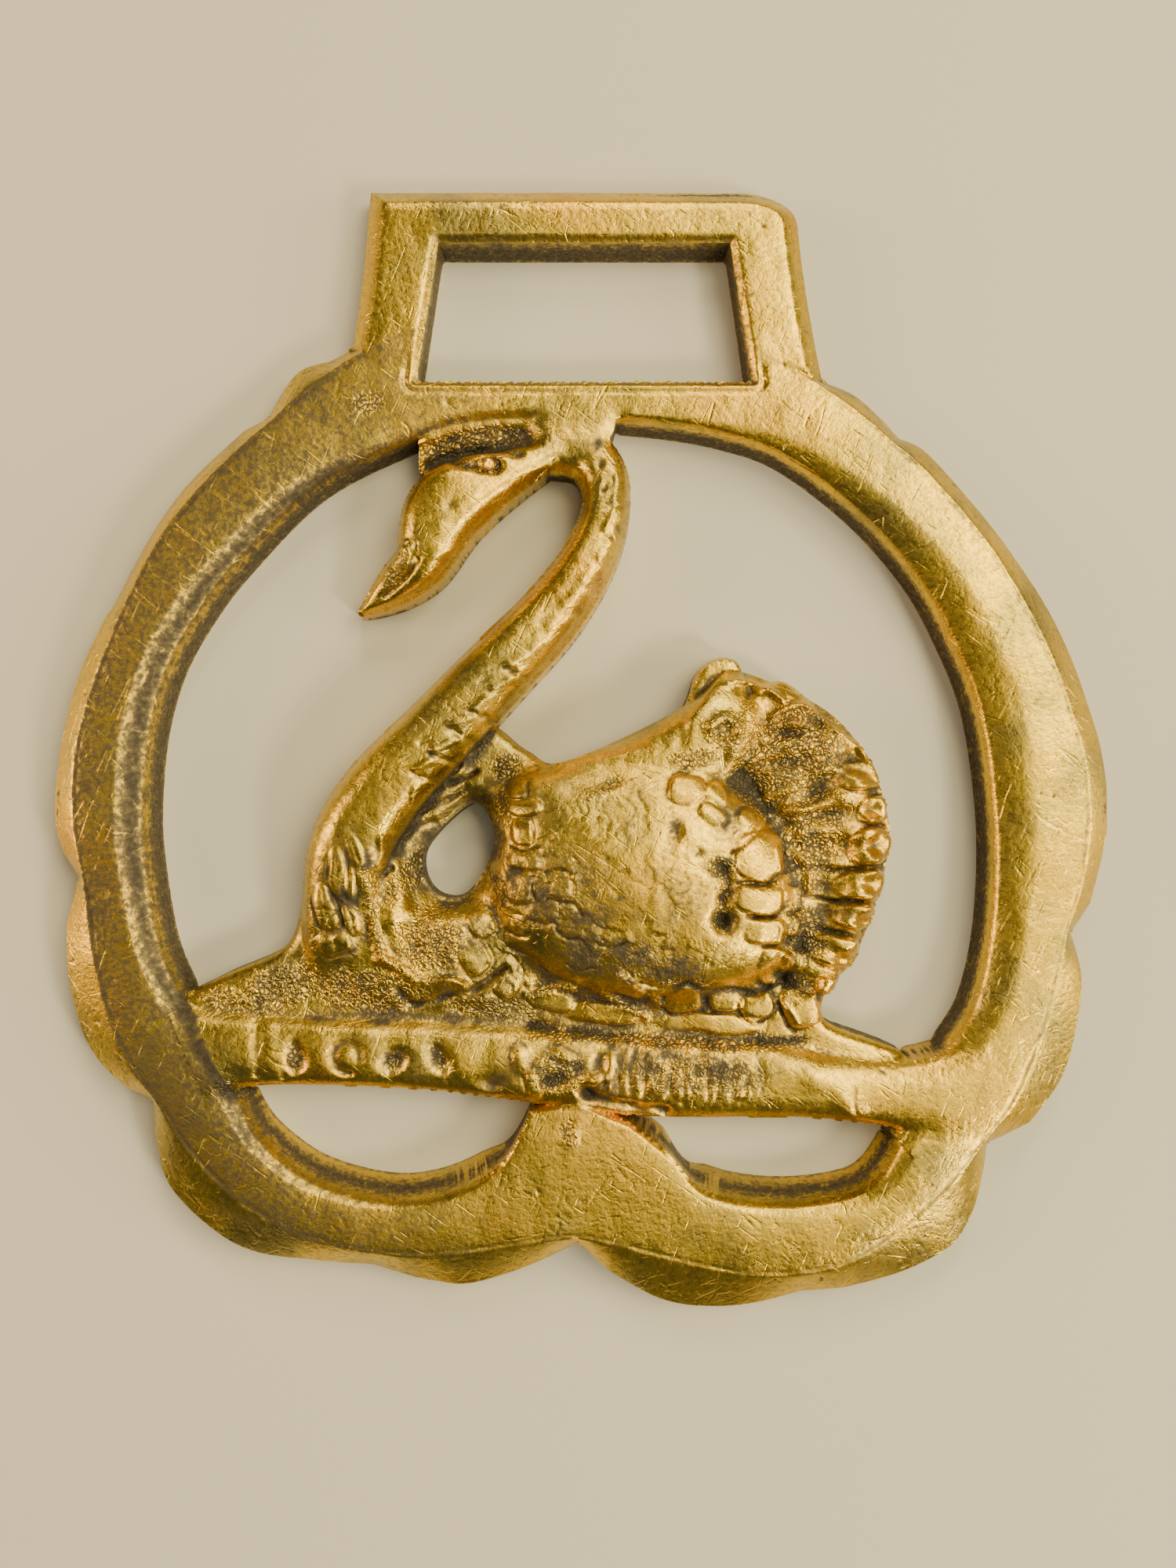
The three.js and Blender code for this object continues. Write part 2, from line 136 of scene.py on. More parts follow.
def from_segment(x: Array, y: Array, start: Array, end: Array) -> tuple[Array, Array, Array]:
    """Measure points from a straight piece of line.

    Args:
        x: places of the points across.
        y: their places up.
        start: the piece's start, of which the first two numbers count.
        end: its end.

    Returns:
        The share of the piece at its nearest place, and the steps across and up from there.
    """
    along = end[:2] - start[:2]
    share = ((x - start[0]) * along[0] + (y - start[1]) * along[1]) / max(float(along @ along), TINY)
    share = np.clip(share, 0, 1)
    return share, x - start[0] - share * along[0], y - start[1] - share * along[1]


def through(points: Sequence[Sequence[float]], steps: int = 8, closed: bool = False) -> Array:
    """Draw a smooth line through points.

    Args:
        points: rows of numbers, each row one point.
        steps: points to a span.
        closed: whether the line runs back to its start.

    Returns:
        The line's points, one to a row.
    """
    rows = np.asarray(points, dtype=float)
    count = len(rows)
    spans = count if closed else count - 1
    line = []
    for span in range(spans):
        picks = [span - 1, span, span + 1, span + 2]
        picks = [p % count for p in picks] if closed else [min(max(p, 0), count - 1) for p in picks]
        before, start, end, after = (rows[p] for p in picks)
        for step in range(steps):
            t = step / steps
            line.append(0.5 * (2 * start + (end - before) * t
                               + (2 * before - 5 * start + 4 * end - after) * t ** 2
                               + (3 * start - before - 3 * end + after) * t ** 3))
    if not closed:
        line.append(rows[-1])
    return np.array(line)


@dataclass(frozen=True)
class Sizes:
    """Driving sizes of the casting, the same as the solid's."""

    reach_left: float = 42.2
    reach_right: float = 44.0
    reach_down: float = 45.4
    shoulder: float = 30.8
    opening_width: float = 69.0
    opening_height: float = 64.0
    hanger_height: float = 15.4
    pitch: float = 0.12

    @property
    def hanger_top(self) -> float:
        """Height of the hanger's upper edge over the middle of the opening."""
        return self.shoulder + self.hanger_height

    @property
    def middle(self) -> Pair:
        """Middle of the opening, seen from the middle of the whole brass."""
        return (self.reach_left - self.reach_right) / 2, (self.reach_down - self.hanger_top) / 2

    def in_opening(self, points: Sequence[Sequence[float]]) -> Array:
        """Place points given in hundredths of the opening's width and height.

        Args:
            points: rows that start with across and up.

        Returns:
            Rows in millimetres, with any further numbers as they were.
        """
        rows = np.array(points, dtype=float)
        rows[:, 0] = rows[:, 0] * self.opening_width / 100 + self.middle[0]
        rows[:, 1] = rows[:, 1] * self.opening_height / 100 + self.middle[1]
        return rows

    def on_frame(self, points: Sequence[Pair]) -> Array:
        """Place points given in hundredths of the frame's reach on their own side.

        Args:
            points: rows of across and up.

        Returns:
            Rows in millimetres.
        """
        rows = np.array(points, dtype=float)
        side = np.where(rows[:, 0] < 0, self.reach_left, self.reach_right)
        rise = np.where(rows[:, 1] < 0, self.reach_down, self.shoulder)
        return np.column_stack([rows[:, 0] * side / 100, rows[:, 1] * rise / 100]) + np.array(self.middle)


class Sheet:
    """Height map of the casting's face on an even grid.

    height is the face's height over the back, and cover is the distance inside the outline, below nought
    outside. The darkness map is how dark the face is painted there: the metal's tarnish, with painted shade
    added on the ring's left side and in the hollows. grain_share is how rough the sand left it.
    """

    def __init__(self, sizes: Sizes, half_width: float, half_height: float, seed: int = 7) -> None:
        """Lay out the grid.

        Args:
            sizes: driving sizes.
            half_width: half the width that the grid covers.
            half_height: half the height that it covers.
            seed: start of the random numbers.
        """
        self.sizes = sizes
        self.columns = int(2 * half_width / sizes.pitch) + 1
        self.rows = int(2 * half_height / sizes.pitch) + 1
        self.half = (half_width, half_height)
        self.ceiling = 8.2
        across = np.linspace(-half_width, half_width, self.columns)
        up = np.linspace(-half_height, half_height, self.rows)
        self.x, self.y = np.meshgrid(across, up)
        self.height = np.full(self.x.shape, 0.5)
        self.cover = np.full(self.x.shape, -5.0)
        self.tarnish_and_shade = np.zeros(self.x.shape)
        self.grain_share = np.zeros(self.x.shape)
        self.random = np.random.default_rng(seed)
        self.bent_x = self.x + 0.09 * self.noise(0.7)
        self.bent_y = self.y + 0.09 * self.noise(0.7)
        self.patchy = np.clip(0.62 + 0.3 * self.noise(0.5), 0, 1)

    def window(self, low: Pair, high: Pair) -> Window:
        """Give the rows and columns between two corners.

        Args:
            low: lower left corner in millimetres.
            high: upper right corner in millimetres.

        Returns:
            Slices of the map's rows and columns.
        """
        step_x = 2 * self.half[0] / (self.columns - 1)
        step_y = 2 * self.half[1] / (self.rows - 1)
        left = max(int((low[0] + self.half[0]) / step_x), 0)
        right = min(int((high[0] + self.half[0]) / step_x) + 2, self.columns)
        bottom = max(int((low[1] + self.half[1]) / step_y), 0)
        top = min(int((high[1] + self.half[1]) / step_y) + 2, self.rows)
        return slice(bottom, top), slice(left, right)

    def around(self, line: Array, margin: float) -> Window:
        """Give the rows and columns around a line of points.

        Args:
            line: points in millimetres, one to a row.
            margin: how far past them the window reaches.

        Returns:
            Slices of the map's rows and columns.
        """
        low = line[:, :2].min(axis=0) - margin
        high = line[:, :2].max(axis=0) + margin
        return self.window((low[0], low[1]), (high[0], high[1]))

    def blurred(self, values: Array, reach: float, stretch: float = 1.0) -> Array:
        """Smooth a map.

        Args:
            values: map of the whole sheet.
            reach: spread of the smoothing in millimetres.
            stretch: how much farther it spreads sideways.

        Returns:
            The smoothed map.
        """
        spread = reach / self.sizes.pitch
        down = np.fft.fftfreq(values.shape[0])[:, None]
        across = np.fft.rfftfreq(values.shape[1])[None, :] * stretch
        kernel = np.exp(-2 * (math.pi * spread) ** 2 * (down ** 2 + across ** 2))
        return np.fft.irfft2(np.fft.rfft2(values) * kernel, s=values.shape)

    def soften(self, where: Array, reach: float) -> None:
        """Smooth the face where a map of shares says so."""
        filled = np.where(self.cover > -0.4, self.height, 3.0)
        self.height += (self.blurred(filled, reach) - self.height) * where

    def noise(self, reach: float, stretch: float = 1.0) -> Array:
        """Make an even random map.

        Args:
            reach: size of its bumps in millimetres.
            stretch: how much longer the bumps are sideways.

        Returns:
            A map with a spread of about one.
        """
        values = self.blurred(self.random.standard_normal(self.x.shape), reach, stretch)
        return values / values.std()

    def cells(self, pitch: float, turn: float, stretch: float) -> tuple[Array, Array]:
        """Divide the sheet into uneven cells, like worn feathers.

        Args:
            pitch: width of a cell in millimetres.
            turn: direction of the cells in radians.
            stretch: length of a cell for each width.

        Returns:
            How far each point is from its cell's edge, and how far it lies towards its cell's free end.
        """
        x = self.x + 0.16 * self.noise(0.3) + 0.3 * self.noise(1.0)
        y = self.y + 0.16 * self.noise(0.3) + 0.3 * self.noise(1.0)
        along = (x * math.cos(turn) + y * math.sin(turn)) / (pitch * stretch)
        across = (-x * math.sin(turn) + y * math.cos(turn)) / pitch
        column, row = np.floor(along).astype(int), np.floor(across).astype(int)
        seeds = self.random.uniform(0.1, 0.9, (2, 97, 89))
        first, second = np.full(along.shape, 9.0), np.full(along.shape, 9.0)
        lean = np.zeros(along.shape)
        for step_x in (-1, 0, 1):
            for step_y in (-1, 0, 1):
                pick = (column + step_x) % 97, (row + step_y) % 89
                shift = along - column - step_x - seeds[0][pick]
                gap = np.hypot(shift, across - row - step_y - seeds[1][pick])
                second = np.minimum(second, np.maximum(first, gap))
                lean = np.where(gap < first, shift, lean)
                first = np.minimum(first, gap)
        return (second - first) * pitch, lean

    def distance(self, where: Window, outline: Array) -> Array:
        """Measure how far points lie inside a closed outline.

        Args:
            where: rows and columns to measure.
            outline: the outline's corners.

        Returns:
            Distances, below nought outside.
        """
        x, y = self.x[where], self.y[where]
        nearest = np.full(x.shape, FAR)
        inside = np.zeros(x.shape, dtype=bool)
        for start, end in zip(outline, np.roll(outline, -1, axis=0)):
            _, dx, dy = from_segment(x, y, start, end)
            nearest = np.minimum(nearest, dx ** 2 + dy ** 2)
            crosses = (start[1] > y) != (end[1] > y)
            run, rise = end - start
            rise = rise if abs(rise) > TINY else TINY
            inside ^= crosses & (x < run * (y - start[1]) / rise + start[0])
        return np.where(inside, 1.0, -1.0) * np.sqrt(nearest)

    def measure(self, outline: Array, margin: float = 1.0) -> tuple[Window, Array]:
        """Give the window round a closed outline, and how far its points lie inside."""
        where = self.around(outline, margin)
        return where, self.distance(where, outline)

    def cover_with(self, where: Window, reach: Array) -> None:
        """Add an area to the outline."""
        self.cover[where] = np.maximum(self.cover[where], reach)

    def darken(self, where: Window, dark: Array) -> None:
        """Darken an area at least this much, with tarnish and with painted shade alike."""
        self.tarnish_and_shade[where] = np.maximum(self.tarnish_and_shade[where], dark)

    def roughen(self, where: Window, grain: Array) -> None:
        """Give an area at least this much sand grain."""
        self.grain_share[where] = np.maximum(self.grain_share[where], grain)

    def raise_to(self, where: Window, height: Array, fillet: float = 0.2) -> None:
        """Raise the face to a form, with a fillet round its foot."""
        before = self.height[where]
        self.height[where] = np.where(height > 0, soft_max(before, height, fillet), before)

    def oval(self, place: Pair, length: float, width: float, turn: float,
             margin: float = 1.0) -> tuple[Window, Array, Array]:
        """Measure an oval's window.

        Args:
            place: its middle.
            length: size along its turn.
            width: size across its turn.
            turn: direction in degrees.
            margin: how far past the oval the window reaches, as a share of its longer size.

        Returns:
            The window, and the shares along and across the oval, one at its edge.
        """
        reach = max(length, width) * margin
        where = self.window((place[0] - reach, place[1] - reach), (place[0] + reach, place[1] + reach))
        angle = math.radians(turn)
        dx, dy = self.bent_x[where] - place[0], self.bent_y[where] - place[1]
        along = (dx * math.cos(angle) + dy * math.sin(angle)) / (length / 2)
        across = (-dx * math.sin(angle) + dy * math.cos(angle)) / (width / 2)
        return where, along, across

    def lay(self, place: Pair, length: float, width: float, turn: float, rise: float, broad: float = 0.0,
            tilt: float = 0.5, quill: float = 0.0, dark: float = 0.35, body: Array | None = None,
            full: float = 2.3, outline: bool = False) -> None:
        """Lay one feather or scale over the body, like a tile with a crisp edge.

        Args:
            place: its middle.
            length: size along its turn.
            width: size across its turn.
            turn: direction of its free end in degrees.
            rise: height over the body.
            broad: how much broader its free end is.
            tilt: how much its free end lifts, as a share of its rise.
            quill: depth of the line down its middle.
            dark: tarnish in the groove round it.
            body: heights of the body that it lies on.
            full: squareness of its shape.
            outline: whether it also widens the casting's outline.
        """
        where, along, across = self.oval(place, length, width, turn)
        across = across / (1 + broad * np.clip(along, -1, 1))
        spread = (np.abs(along) ** full + np.abs(across) ** full) ** (1 / full)
        ground = self.height[where] if body is None else body[where]
        crown = rise * (np.sqrt(np.clip(1 - spread ** 4, 0, 1)) * 0.6 + 0.4 * (1 + tilt * along))
        crown = crown - quill * np.exp(-(across / 0.14) ** 2) * (spread < 0.9)
        within = (1 - spread) * min(length, width) / 2
        if outline:
            self.cover_with(where, within)
        free = smoothstep(-1.0, -0.1, along)
        blend = smoothstep(-0.1, 0.16, within) * (0.35 + 0.65 * free)
        groove = np.exp(-((within + 0.14) / 0.15) ** 2) * self.patchy[where] * (0.25 + 0.75 * free)
        sunk = self.height[where] - 0.35 * rise * groove
        self.height[where] = sunk + (ground + crown - sunk) * blend
        self.tarnish_and_shade[where] = np.maximum(self.tarnish_and_shade[where] * (1 - 0.5 * blend), dark * groove)
        self.grain_share[where] *= 1 - 0.7 * blend

    def lay_all(self, rows: Rows, broad: float, tilt: float, dark: float, full: float = 2.3,
                quill: float = 0.0) -> None:
        """Lay several feathers in the same way, each row with its middle, length, width, turn and rise."""
        for x, y, length, width, turn, rise in rows:
            self.lay((x, y), length, width, turn, rise, broad, tilt, quill, dark, None, full)

    def cut(self, line: Sequence[Pair], width: float, depth: float, dark: float = 0.0,
            grain: float = 0.0) -> None:
        """Work a broken line into the face, or raise one where its depth is below nought.

        Args:
            line: points of the line in millimetres.
            width: half its width.
            depth: its depth.
            dark: tarnish in it.
            grain: roughness along it.
        """
        path = through(line, 5)
        where = self.around(path, width * 4)
        x, y = self.bent_x[where], self.bent_y[where]
        gap = np.full(x.shape, FAR)
        for start, end in zip(path[:-1], path[1:]):
            _, dx, dy = from_segment(x, y, start, end)
            gap = np.minimum(gap, dx ** 2 + dy ** 2)
        fall = np.exp(-gap / width ** 2)
        self.height[where] -= depth * fall * (0.5 + 0.5 * self.patchy[where])
        if depth > 0:
            self.darken(where, dark * fall * self.patchy[where])
        else:
            self.tarnish_and_shade[where] *= 1 - 0.7 * fall
        self.roughen(where, grain * fall)

    def cut_all(self, lines: Sequence[Line], *how: float) -> None:
        """Work several lines into the face in the same way."""
        for line in lines:
            self.cut(line, *how)

    def sink(self, place: Pair, length: float, width: float, turn: float, depth: float, dark: float = 0.6,
             sharp: float = 2.0) -> None:
        """Press an oval hollow into the face.

        Args:
            place: its middle.
            length: size along its turn.
            width: size across its turn.
            turn: direction in degrees.
            depth: depth at its middle.
            dark: tarnish in it.
            sharp: steepness of its sides.
        """
        where, along, across = self.oval(place, length, width, turn, 1.3)
        fall = np.exp(-(along ** 2 + across ** 2) ** (sharp / 2))
        self.height[where] -= depth * fall
        self.darken(where, dark * fall)

    def stain(self, place: Pair, length: float, width: float, turn: float, dark: float,
              grain: float = 0.0) -> None:
        """Darken a patch, and roughen it where it has grain.

        Args:
            place: middle of the patch.
            length: half length.
            width: half width.
            turn: turn in degrees.
            dark: tarnish at the middle.
            grain: grain at the middle.
        """
        where, along, across = self.oval(place, length, width, turn, 1.5)
        fall = 1 - smoothstep(0.45, 1.15, np.sqrt(along ** 2 + across ** 2))
        self.darken(where, dark * fall)
        self.roughen(where, grain * fall)


@dataclass
class Form:
    """A form of the relief, which works on the casting's height map."""

    sheet: Sheet

    @property
    def sizes(self) -> Sizes:
        """Driving sizes of the casting."""
        return self.sheet.sizes

    def work(self) -> None:
        """Work the form into the sheet."""
        raise NotImplementedError


@dataclass
class FrameRing(Form):
    """Scalloped ring with a bevelled rim and a crease along its inner side, with painted shade on its left
    flats and in its left crease.
    """

    top: float = 4.4
    shoulder_top: float = 3.6
    rim_drop: float = 1.7
    rim_margin: float = 1.0
    crease_drop: float = 0.95
    left_crease: float = 2.2
    right_crease: float = 3.6
    narrow_crease: float = 0.5
    band_crown: float = 0.16
    lip_drop: float = 0.4
    hem_drop: float = 0.08
    hem_dark: float = 0.3
    # Painted shade on the ring's left side: darkness laid on its flats and in its crease, standing in for the
    # dark reflection they show.
    left_flat_painted_shade: float = 0.52
    left_crease_painted_shade: float = 0.62
    scallops: tuple[Line, ...] = (
        ((48, 99), (53.5, 95.5), (58.5, 89)), ((61.5, 84), (66.4, 80.4), (73.6, 69), (81.6, 54.4),
        (90.4, 34.6), (96.4, 13.5), (99.6, -2.8), (100, -14.2), (97, -27)),
        ((93.3, -32.5), (95.3, -40.4), (94.6, -48.4), (91.7, -58.5), (85.7, -66.7)),
        ((77.8, -70.4), (76.9, -76), (75, -83), (71, -89), (62, -93.6), (51.8, -96.4)),
        ((43, -97.2), (35, -99.2), (26, -100), (17, -98.6), (7.8, -93.8)), ((1.5, -88.3), (1.5, -88.3)),
        ((-11.4, -93.8), (-20.6, -95.9), (-29.7, -94.7)),
        ((-37.7, -92.4), (-49.5, -91.6), (-62, -89.8), (-71.2, -84.6), (-78, -77.6), (-80.5, -69)),
        ((-81, -62.9), (-87.7, -59.2), (-93.8, -52.2), (-97.2, -41), (-97.7, -31.2)),
        ((-95.3, -22.4), (-98.7, -17), (-100, -9.5), (-98.6, 3), (-95.3, 20.6), (-90, 36.5)),
        ((-89, 38), (-81.1, 58.3), (-73.8, 72.3), (-63.6, 86)), ((-59, 89.4), (-53.4, 101.5), (-46.5, 105)))
    opening: Line = (
        (45, -36.6), (47.6, -31.8), (49.4, -23.4), (50, -13), (49.5, -4), (47.9, 6), (45, 14), (41, 21.9),
        (34.5, 30), (25.6, 37.4), (18.5, 40.3), (10, 41.9), (-2, 42.7), (-11.5, 42.2), (-18.5, 40),
        (-29.9, 33.8), (-39.1, 23.9), (-43.8, 17.2), (-47.2, 10.5), (-49.2, 3), (-50, -5), (-49.9, -12.5),
        (-48.3, -23.4), (-46, -29.8), (-43.7, -33.5))
    left_crescent: Line = (
        (-39.1, -43.3), (-36.2, -48.9), (-29.4, -54.5), (-19, -56.8), (-9.1, -53.1), (-4.4, -45.1))
    peak: Line = ((0.9, -43.8), (0.9, -43.8))
    right_crescent: Line = (
        (6.8, -46.6), (11.5, -50.6), (16.2, -55.6), (25.3, -57.2), (34.5, -55.4), (38.4, -50.2),
        (38.2, -48.4))

    def radius(self, lines: Sequence[Array]) -> Callable[[Array], Array]:
        """Make a reader that gives a line's distance from the opening's middle at any angle.

        Args:
            lines: rows of angle and distance.

        Returns:
            Reader that takes angles and gives distances.
        """
        line = np.vstack(lines) - np.array(self.sizes.middle)
        angle = np.arctan2(line[:, 1], line[:, 0])
        order = np.argsort(angle)
        angle, reach = angle[order], np.hypot(line[:, 0], line[:, 1])[order]
        return lambda turn: np.interp(turn, angle, reach, period=2 * math.pi)

    def work(self) -> None:
        """Raise the ring on the sheet."""
        sheet = self.sheet
        outer = self.radius([through(self.sizes.on_frame(s)) for s in self.scallops])
        edges = (self.opening, self.left_crescent, self.peak, self.right_crescent)
        inner = self.radius([through(self.sizes.in_opening(e)) for e in edges])
        turns = np.linspace(-math.pi, math.pi, 1441)[:-1]
        rim = outer(turns)
        shifts = range(-28, 29, 2)
        crest = np.min([np.roll(rim, shift) for shift in shifts], axis=0)
        crest = np.mean([np.roll(crest, shift) for shift in range(-36, 37, 3)], axis=0) - self.rim_margin
        dx, dy = sheet.x - self.sizes.middle[0], sheet.y - self.sizes.middle[1]
        angle, reach = np.arctan2(dy, dx), np.hypot(dx, dy)
        outside, inside = outer(angle), inner(angle)
        line = np.minimum(np.interp(angle, turns, crest, period=2 * math.pi), outside - 0.5)
        top = self.top + (self.shoulder_top - self.top) * smoothstep(0.35, 0.95, np.sin(angle))
        slope = np.clip((reach - line) / np.maximum(outside - line, 0.3), 0, 1.2)
        sideways = np.cos(angle)
        broad = np.where(sideways < 0, self.left_crease, self.right_crease)
        crease = self.narrow_crease + (broad - self.narrow_crease) * sideways ** 2
        crease = np.minimum(crease, (outside - inside) * 0.4)
        shallow = 0.35 + 0.65 * smoothstep(0.15, 0.7, sideways ** 2)
        fall = np.clip(1 - (reach - inside) / crease, 0, 1.3)
        hollow = np.where(sideways < 0, fall ** 0.9, fall ** 1.5)
        lip = self.lip_drop * bell(reach - inside, 0.22)
        height = top - self.rim_drop * slope ** 1.15 - self.crease_drop * hollow * shallow - lip
        band = np.clip((reach - inside) / np.maximum(line - inside, 0.5), 0, 1)
        height = height + self.band_crown * np.sin(band * math.pi)
        within = np.minimum(outside - reach, reach - inside)
        everywhere = (slice(None), slice(None))
        sheet.cover_with(everywhere, within)
        sheet.height = np.where(within > -0.6, np.maximum(sheet.height, height), sheet.height)
        hem = bell(reach - line + 0.15, 0.2) * (within > 0)
        sheet.height -= self.hem_drop * hem * sheet.patchy
        # Painted shade: the flats and the crease on the left are darkened in place of the dark reflection
        # they show; the hem line is darkened with them.
        left = smoothstep(0.15, -0.75, sideways)
        in_crease = smoothstep(0.15, 0.55, fall) * smoothstep(1.15, 0.9, fall)
        film_and_shade = self.left_flat_painted_shade * left * (slope < 0.05) + self.left_crease_painted_shade * in_crease * left
        sheet.darken(everywhere, (film_and_shade + self.hem_dark * hem) * (within > 0))


@dataclass
class Hanger(Form):
    """Four-sided strap loop on top of the ring."""

    top: float = 3.6
    shift: float = 1.2
    top_width: float = 35.2
    foot_width: float = 39.4
    bevel: float = 1.5
    right_corner: float = 3.6
    slot_top_width: float = 23.8
    slot_foot_width: float = 27.4
    slot_height: float = 11.4
    strap_bar: float = 4.6
    top_band: float = 2.3
    crown: float = 0.12
    bevel_drop: float = 1.25
    band_drop: float = 0.4
    slot_wear: float = 0.45
    slot_groove: float = 0.22
    slot_dark: float = 0.55

    def outline(self) -> Array:
        """Give the hanger's outline, from its left foot round to its left upper corner.

        Returns:
            Points in millimetres, one to a row.
        """
        flare = (self.foot_width - self.top_width) / 2
        left, right = self.shift - self.top_width / 2, self.shift + self.top_width / 2
        head = self.sizes.hanger_top
        waist = head - self.sizes.hanger_height * 0.55
        foot = self.sizes.shoulder - 1.0

        def bend(start: Pair, pull: Pair, end: Pair) -> list[Pair]:
            """Draw a curve that leaves start towards pull and arrives at end."""
            shares = [i / 10 for i in range(11)]
            return [tuple((1 - t) ** 2 * a + 2 * t * (1 - t) * b + t * t * c
                          for a, b, c in zip(start, pull, end)) for t in shares]

        turned = (right, head - self.right_corner)
        points = [(left - flare, foot), *bend((right + flare, foot), (right + flare * 0.2, waist), turned)]
        points += bend(turned, (right, head), (right - self.right_corner * 1.6, head))
        points += bend((left, head), (left - flare * 0.2, waist), (left - flare, foot))
        return np.array(points) + np.array(self.sizes.middle)

    def slot(self) -> Array:
        """Give the slot's four corners.

        Returns:
            Points in millimetres, one to a row.
        """
        head = self.sizes.hanger_top - self.strap_bar
        foot = head - self.slot_height
        corners = [(-self.slot_foot_width / 2, foot), (self.slot_foot_width / 2, foot),
                   (self.slot_top_width / 2, head), (-self.slot_top_width / 2, head)]
        return np.array(corners) + np.array([self.shift, 0]) + np.array(self.sizes.middle)

    def work(self) -> None:
        """Raise the hanger on the sheet."""
        sheet = self.sheet
        where, within = sheet.measure(self.outline(), 1.5)
        fall = np.clip(1 - within / self.bevel, 0, 1)
        crown = self.crown * np.sin(np.clip(within / 6, 0, 1) * math.pi)
        upper = smoothstep(self.top_band, 0.0, self.sizes.hanger_top + self.sizes.middle[1] - sheet.y[where])
        height = self.top + crown - self.bevel_drop * fall ** 1.4 - self.band_drop * upper
        sheet.cover_with(where, within)
        before = sheet.height[where]
        sheet.height[where] = np.where(within > -0.4, np.maximum(before, height), before)
        self.cut_slot()

    def cut_slot(self) -> None:
        """Cut the slot, with worn edges and a ragged lower side."""
        sheet = self.sheet
        slot = self.slot()
        around, within = sheet.measure(slot, 2.5)
        gap, x, y = -within, sheet.x[around], sheet.y[around]
        low = slot[0][1]
        nick = 0.10 * np.sin(x * 5.1) * np.sin(x * 2.3 + 1.0) + 0.06 * np.sin(x * 11.7 + y)
        sheet.cover[around] = np.minimum(sheet.cover[around], gap + nick * bell(y - low, 0.6))
        outside = np.clip(gap, 0, 9)
        sheet.height[around] -= self.slot_wear * bell(outside, 0.35)
        sheet.height[around] -= self.slot_groove * bell(gap - 0.9, 0.25) * bell(y - low, 1.4)
        sheet.darken(around, self.slot_dark * bell(outside, 0.5))


@dataclass
class Limb(Form):
    """A round-backed form swept along a line of across, up, half width and height."""

    line: tuple[tuple[float, float, float, float], ...]
    full_height: float
    fullness: float
    fillet: float
    margin: float = 6.0

    def stations(self) -> Array:
        """Give the smooth centre line with its half widths and heights in millimetres.

        Returns:
            Rows of place, half width and height.
        """
        rows = self.sizes.in_opening(through(self.line, 14))
        rows[:, 2] *= self.sizes.opening_width / 100
        rows[:, 3] *= self.full_height / 100
        return rows

    def measured(self) -> tuple[Window, Array, Array]:
        """Measure the limb over its window.

        Returns:
            The window, the distance from the centre line as a share of the half width, and the height of the
            ridge.
        """
        sheet = self.sheet
        rows = self.stations()
        where = sheet.around(rows, self.margin)
        x, y = sheet.x[where], sheet.y[where]
        spread, ridge = np.full(x.shape, FAR), np.zeros(x.shape)
        for start, end in zip(rows[:-1], rows[1:]):
            share, dx, dy = from_segment(x, y, start, end)
            away = np.hypot(dx, dy) / (start[2] + share * (end[2] - start[2]))
            ridge = np.where(away < spread, start[3] + share * (end[3] - start[3]), ridge)
            spread = np.minimum(spread, away)
        return where, spread, ridge

    def work(self) -> None:
        """Raise the limb on the sheet."""
        sheet = self.sheet
        where, spread, ridge = self.measured()
        profile = 0.42 + 0.58 * np.sqrt(np.clip(1 - np.clip(spread, 0, 1) ** self.fullness, 0, 1))
        height = np.where(spread < 1, ridge * profile, -1)
        half = self.stations()[:, 2].mean()
        sheet.cover_with(where, (1 - spread) * half)
        sheet.raise_to(where, height, self.fillet)


def dome_on(sheet: Sheet, outline: Array, floor: float, top: float, fillet: float = 0.25) -> None:
    """Raise a dome over an outline that can be seen whole from its middle.

    Args:
        sheet: sheet to raise it on.
        outline: its outline.
        floor: height at its edge.
        top: height at its middle.
        fillet: size of the fillet round its foot.
    """
    middle = outline.mean(axis=0)
    line = outline - middle
    angle, radius = np.arctan2(line[:, 1], line[:, 0]), np.hypot(line[:, 0], line[:, 1])
    order = np.argsort(angle)
    where = sheet.around(outline, 3.0)
    dx, dy = sheet.x[where] - middle[0], sheet.y[where] - middle[1]
    reach = np.interp(np.arctan2(dy, dx), angle[order], radius[order], period=2 * math.pi)
    spread = np.hypot(dx, dy) / reach
    height = floor + (top - floor) * np.clip(1 - spread ** 2, 0, 1) ** 0.5
    skirt = floor - 1.3 * (spread - 1) * reach
    sheet.raise_to(where, np.where(spread < 1, height, skirt), fillet)


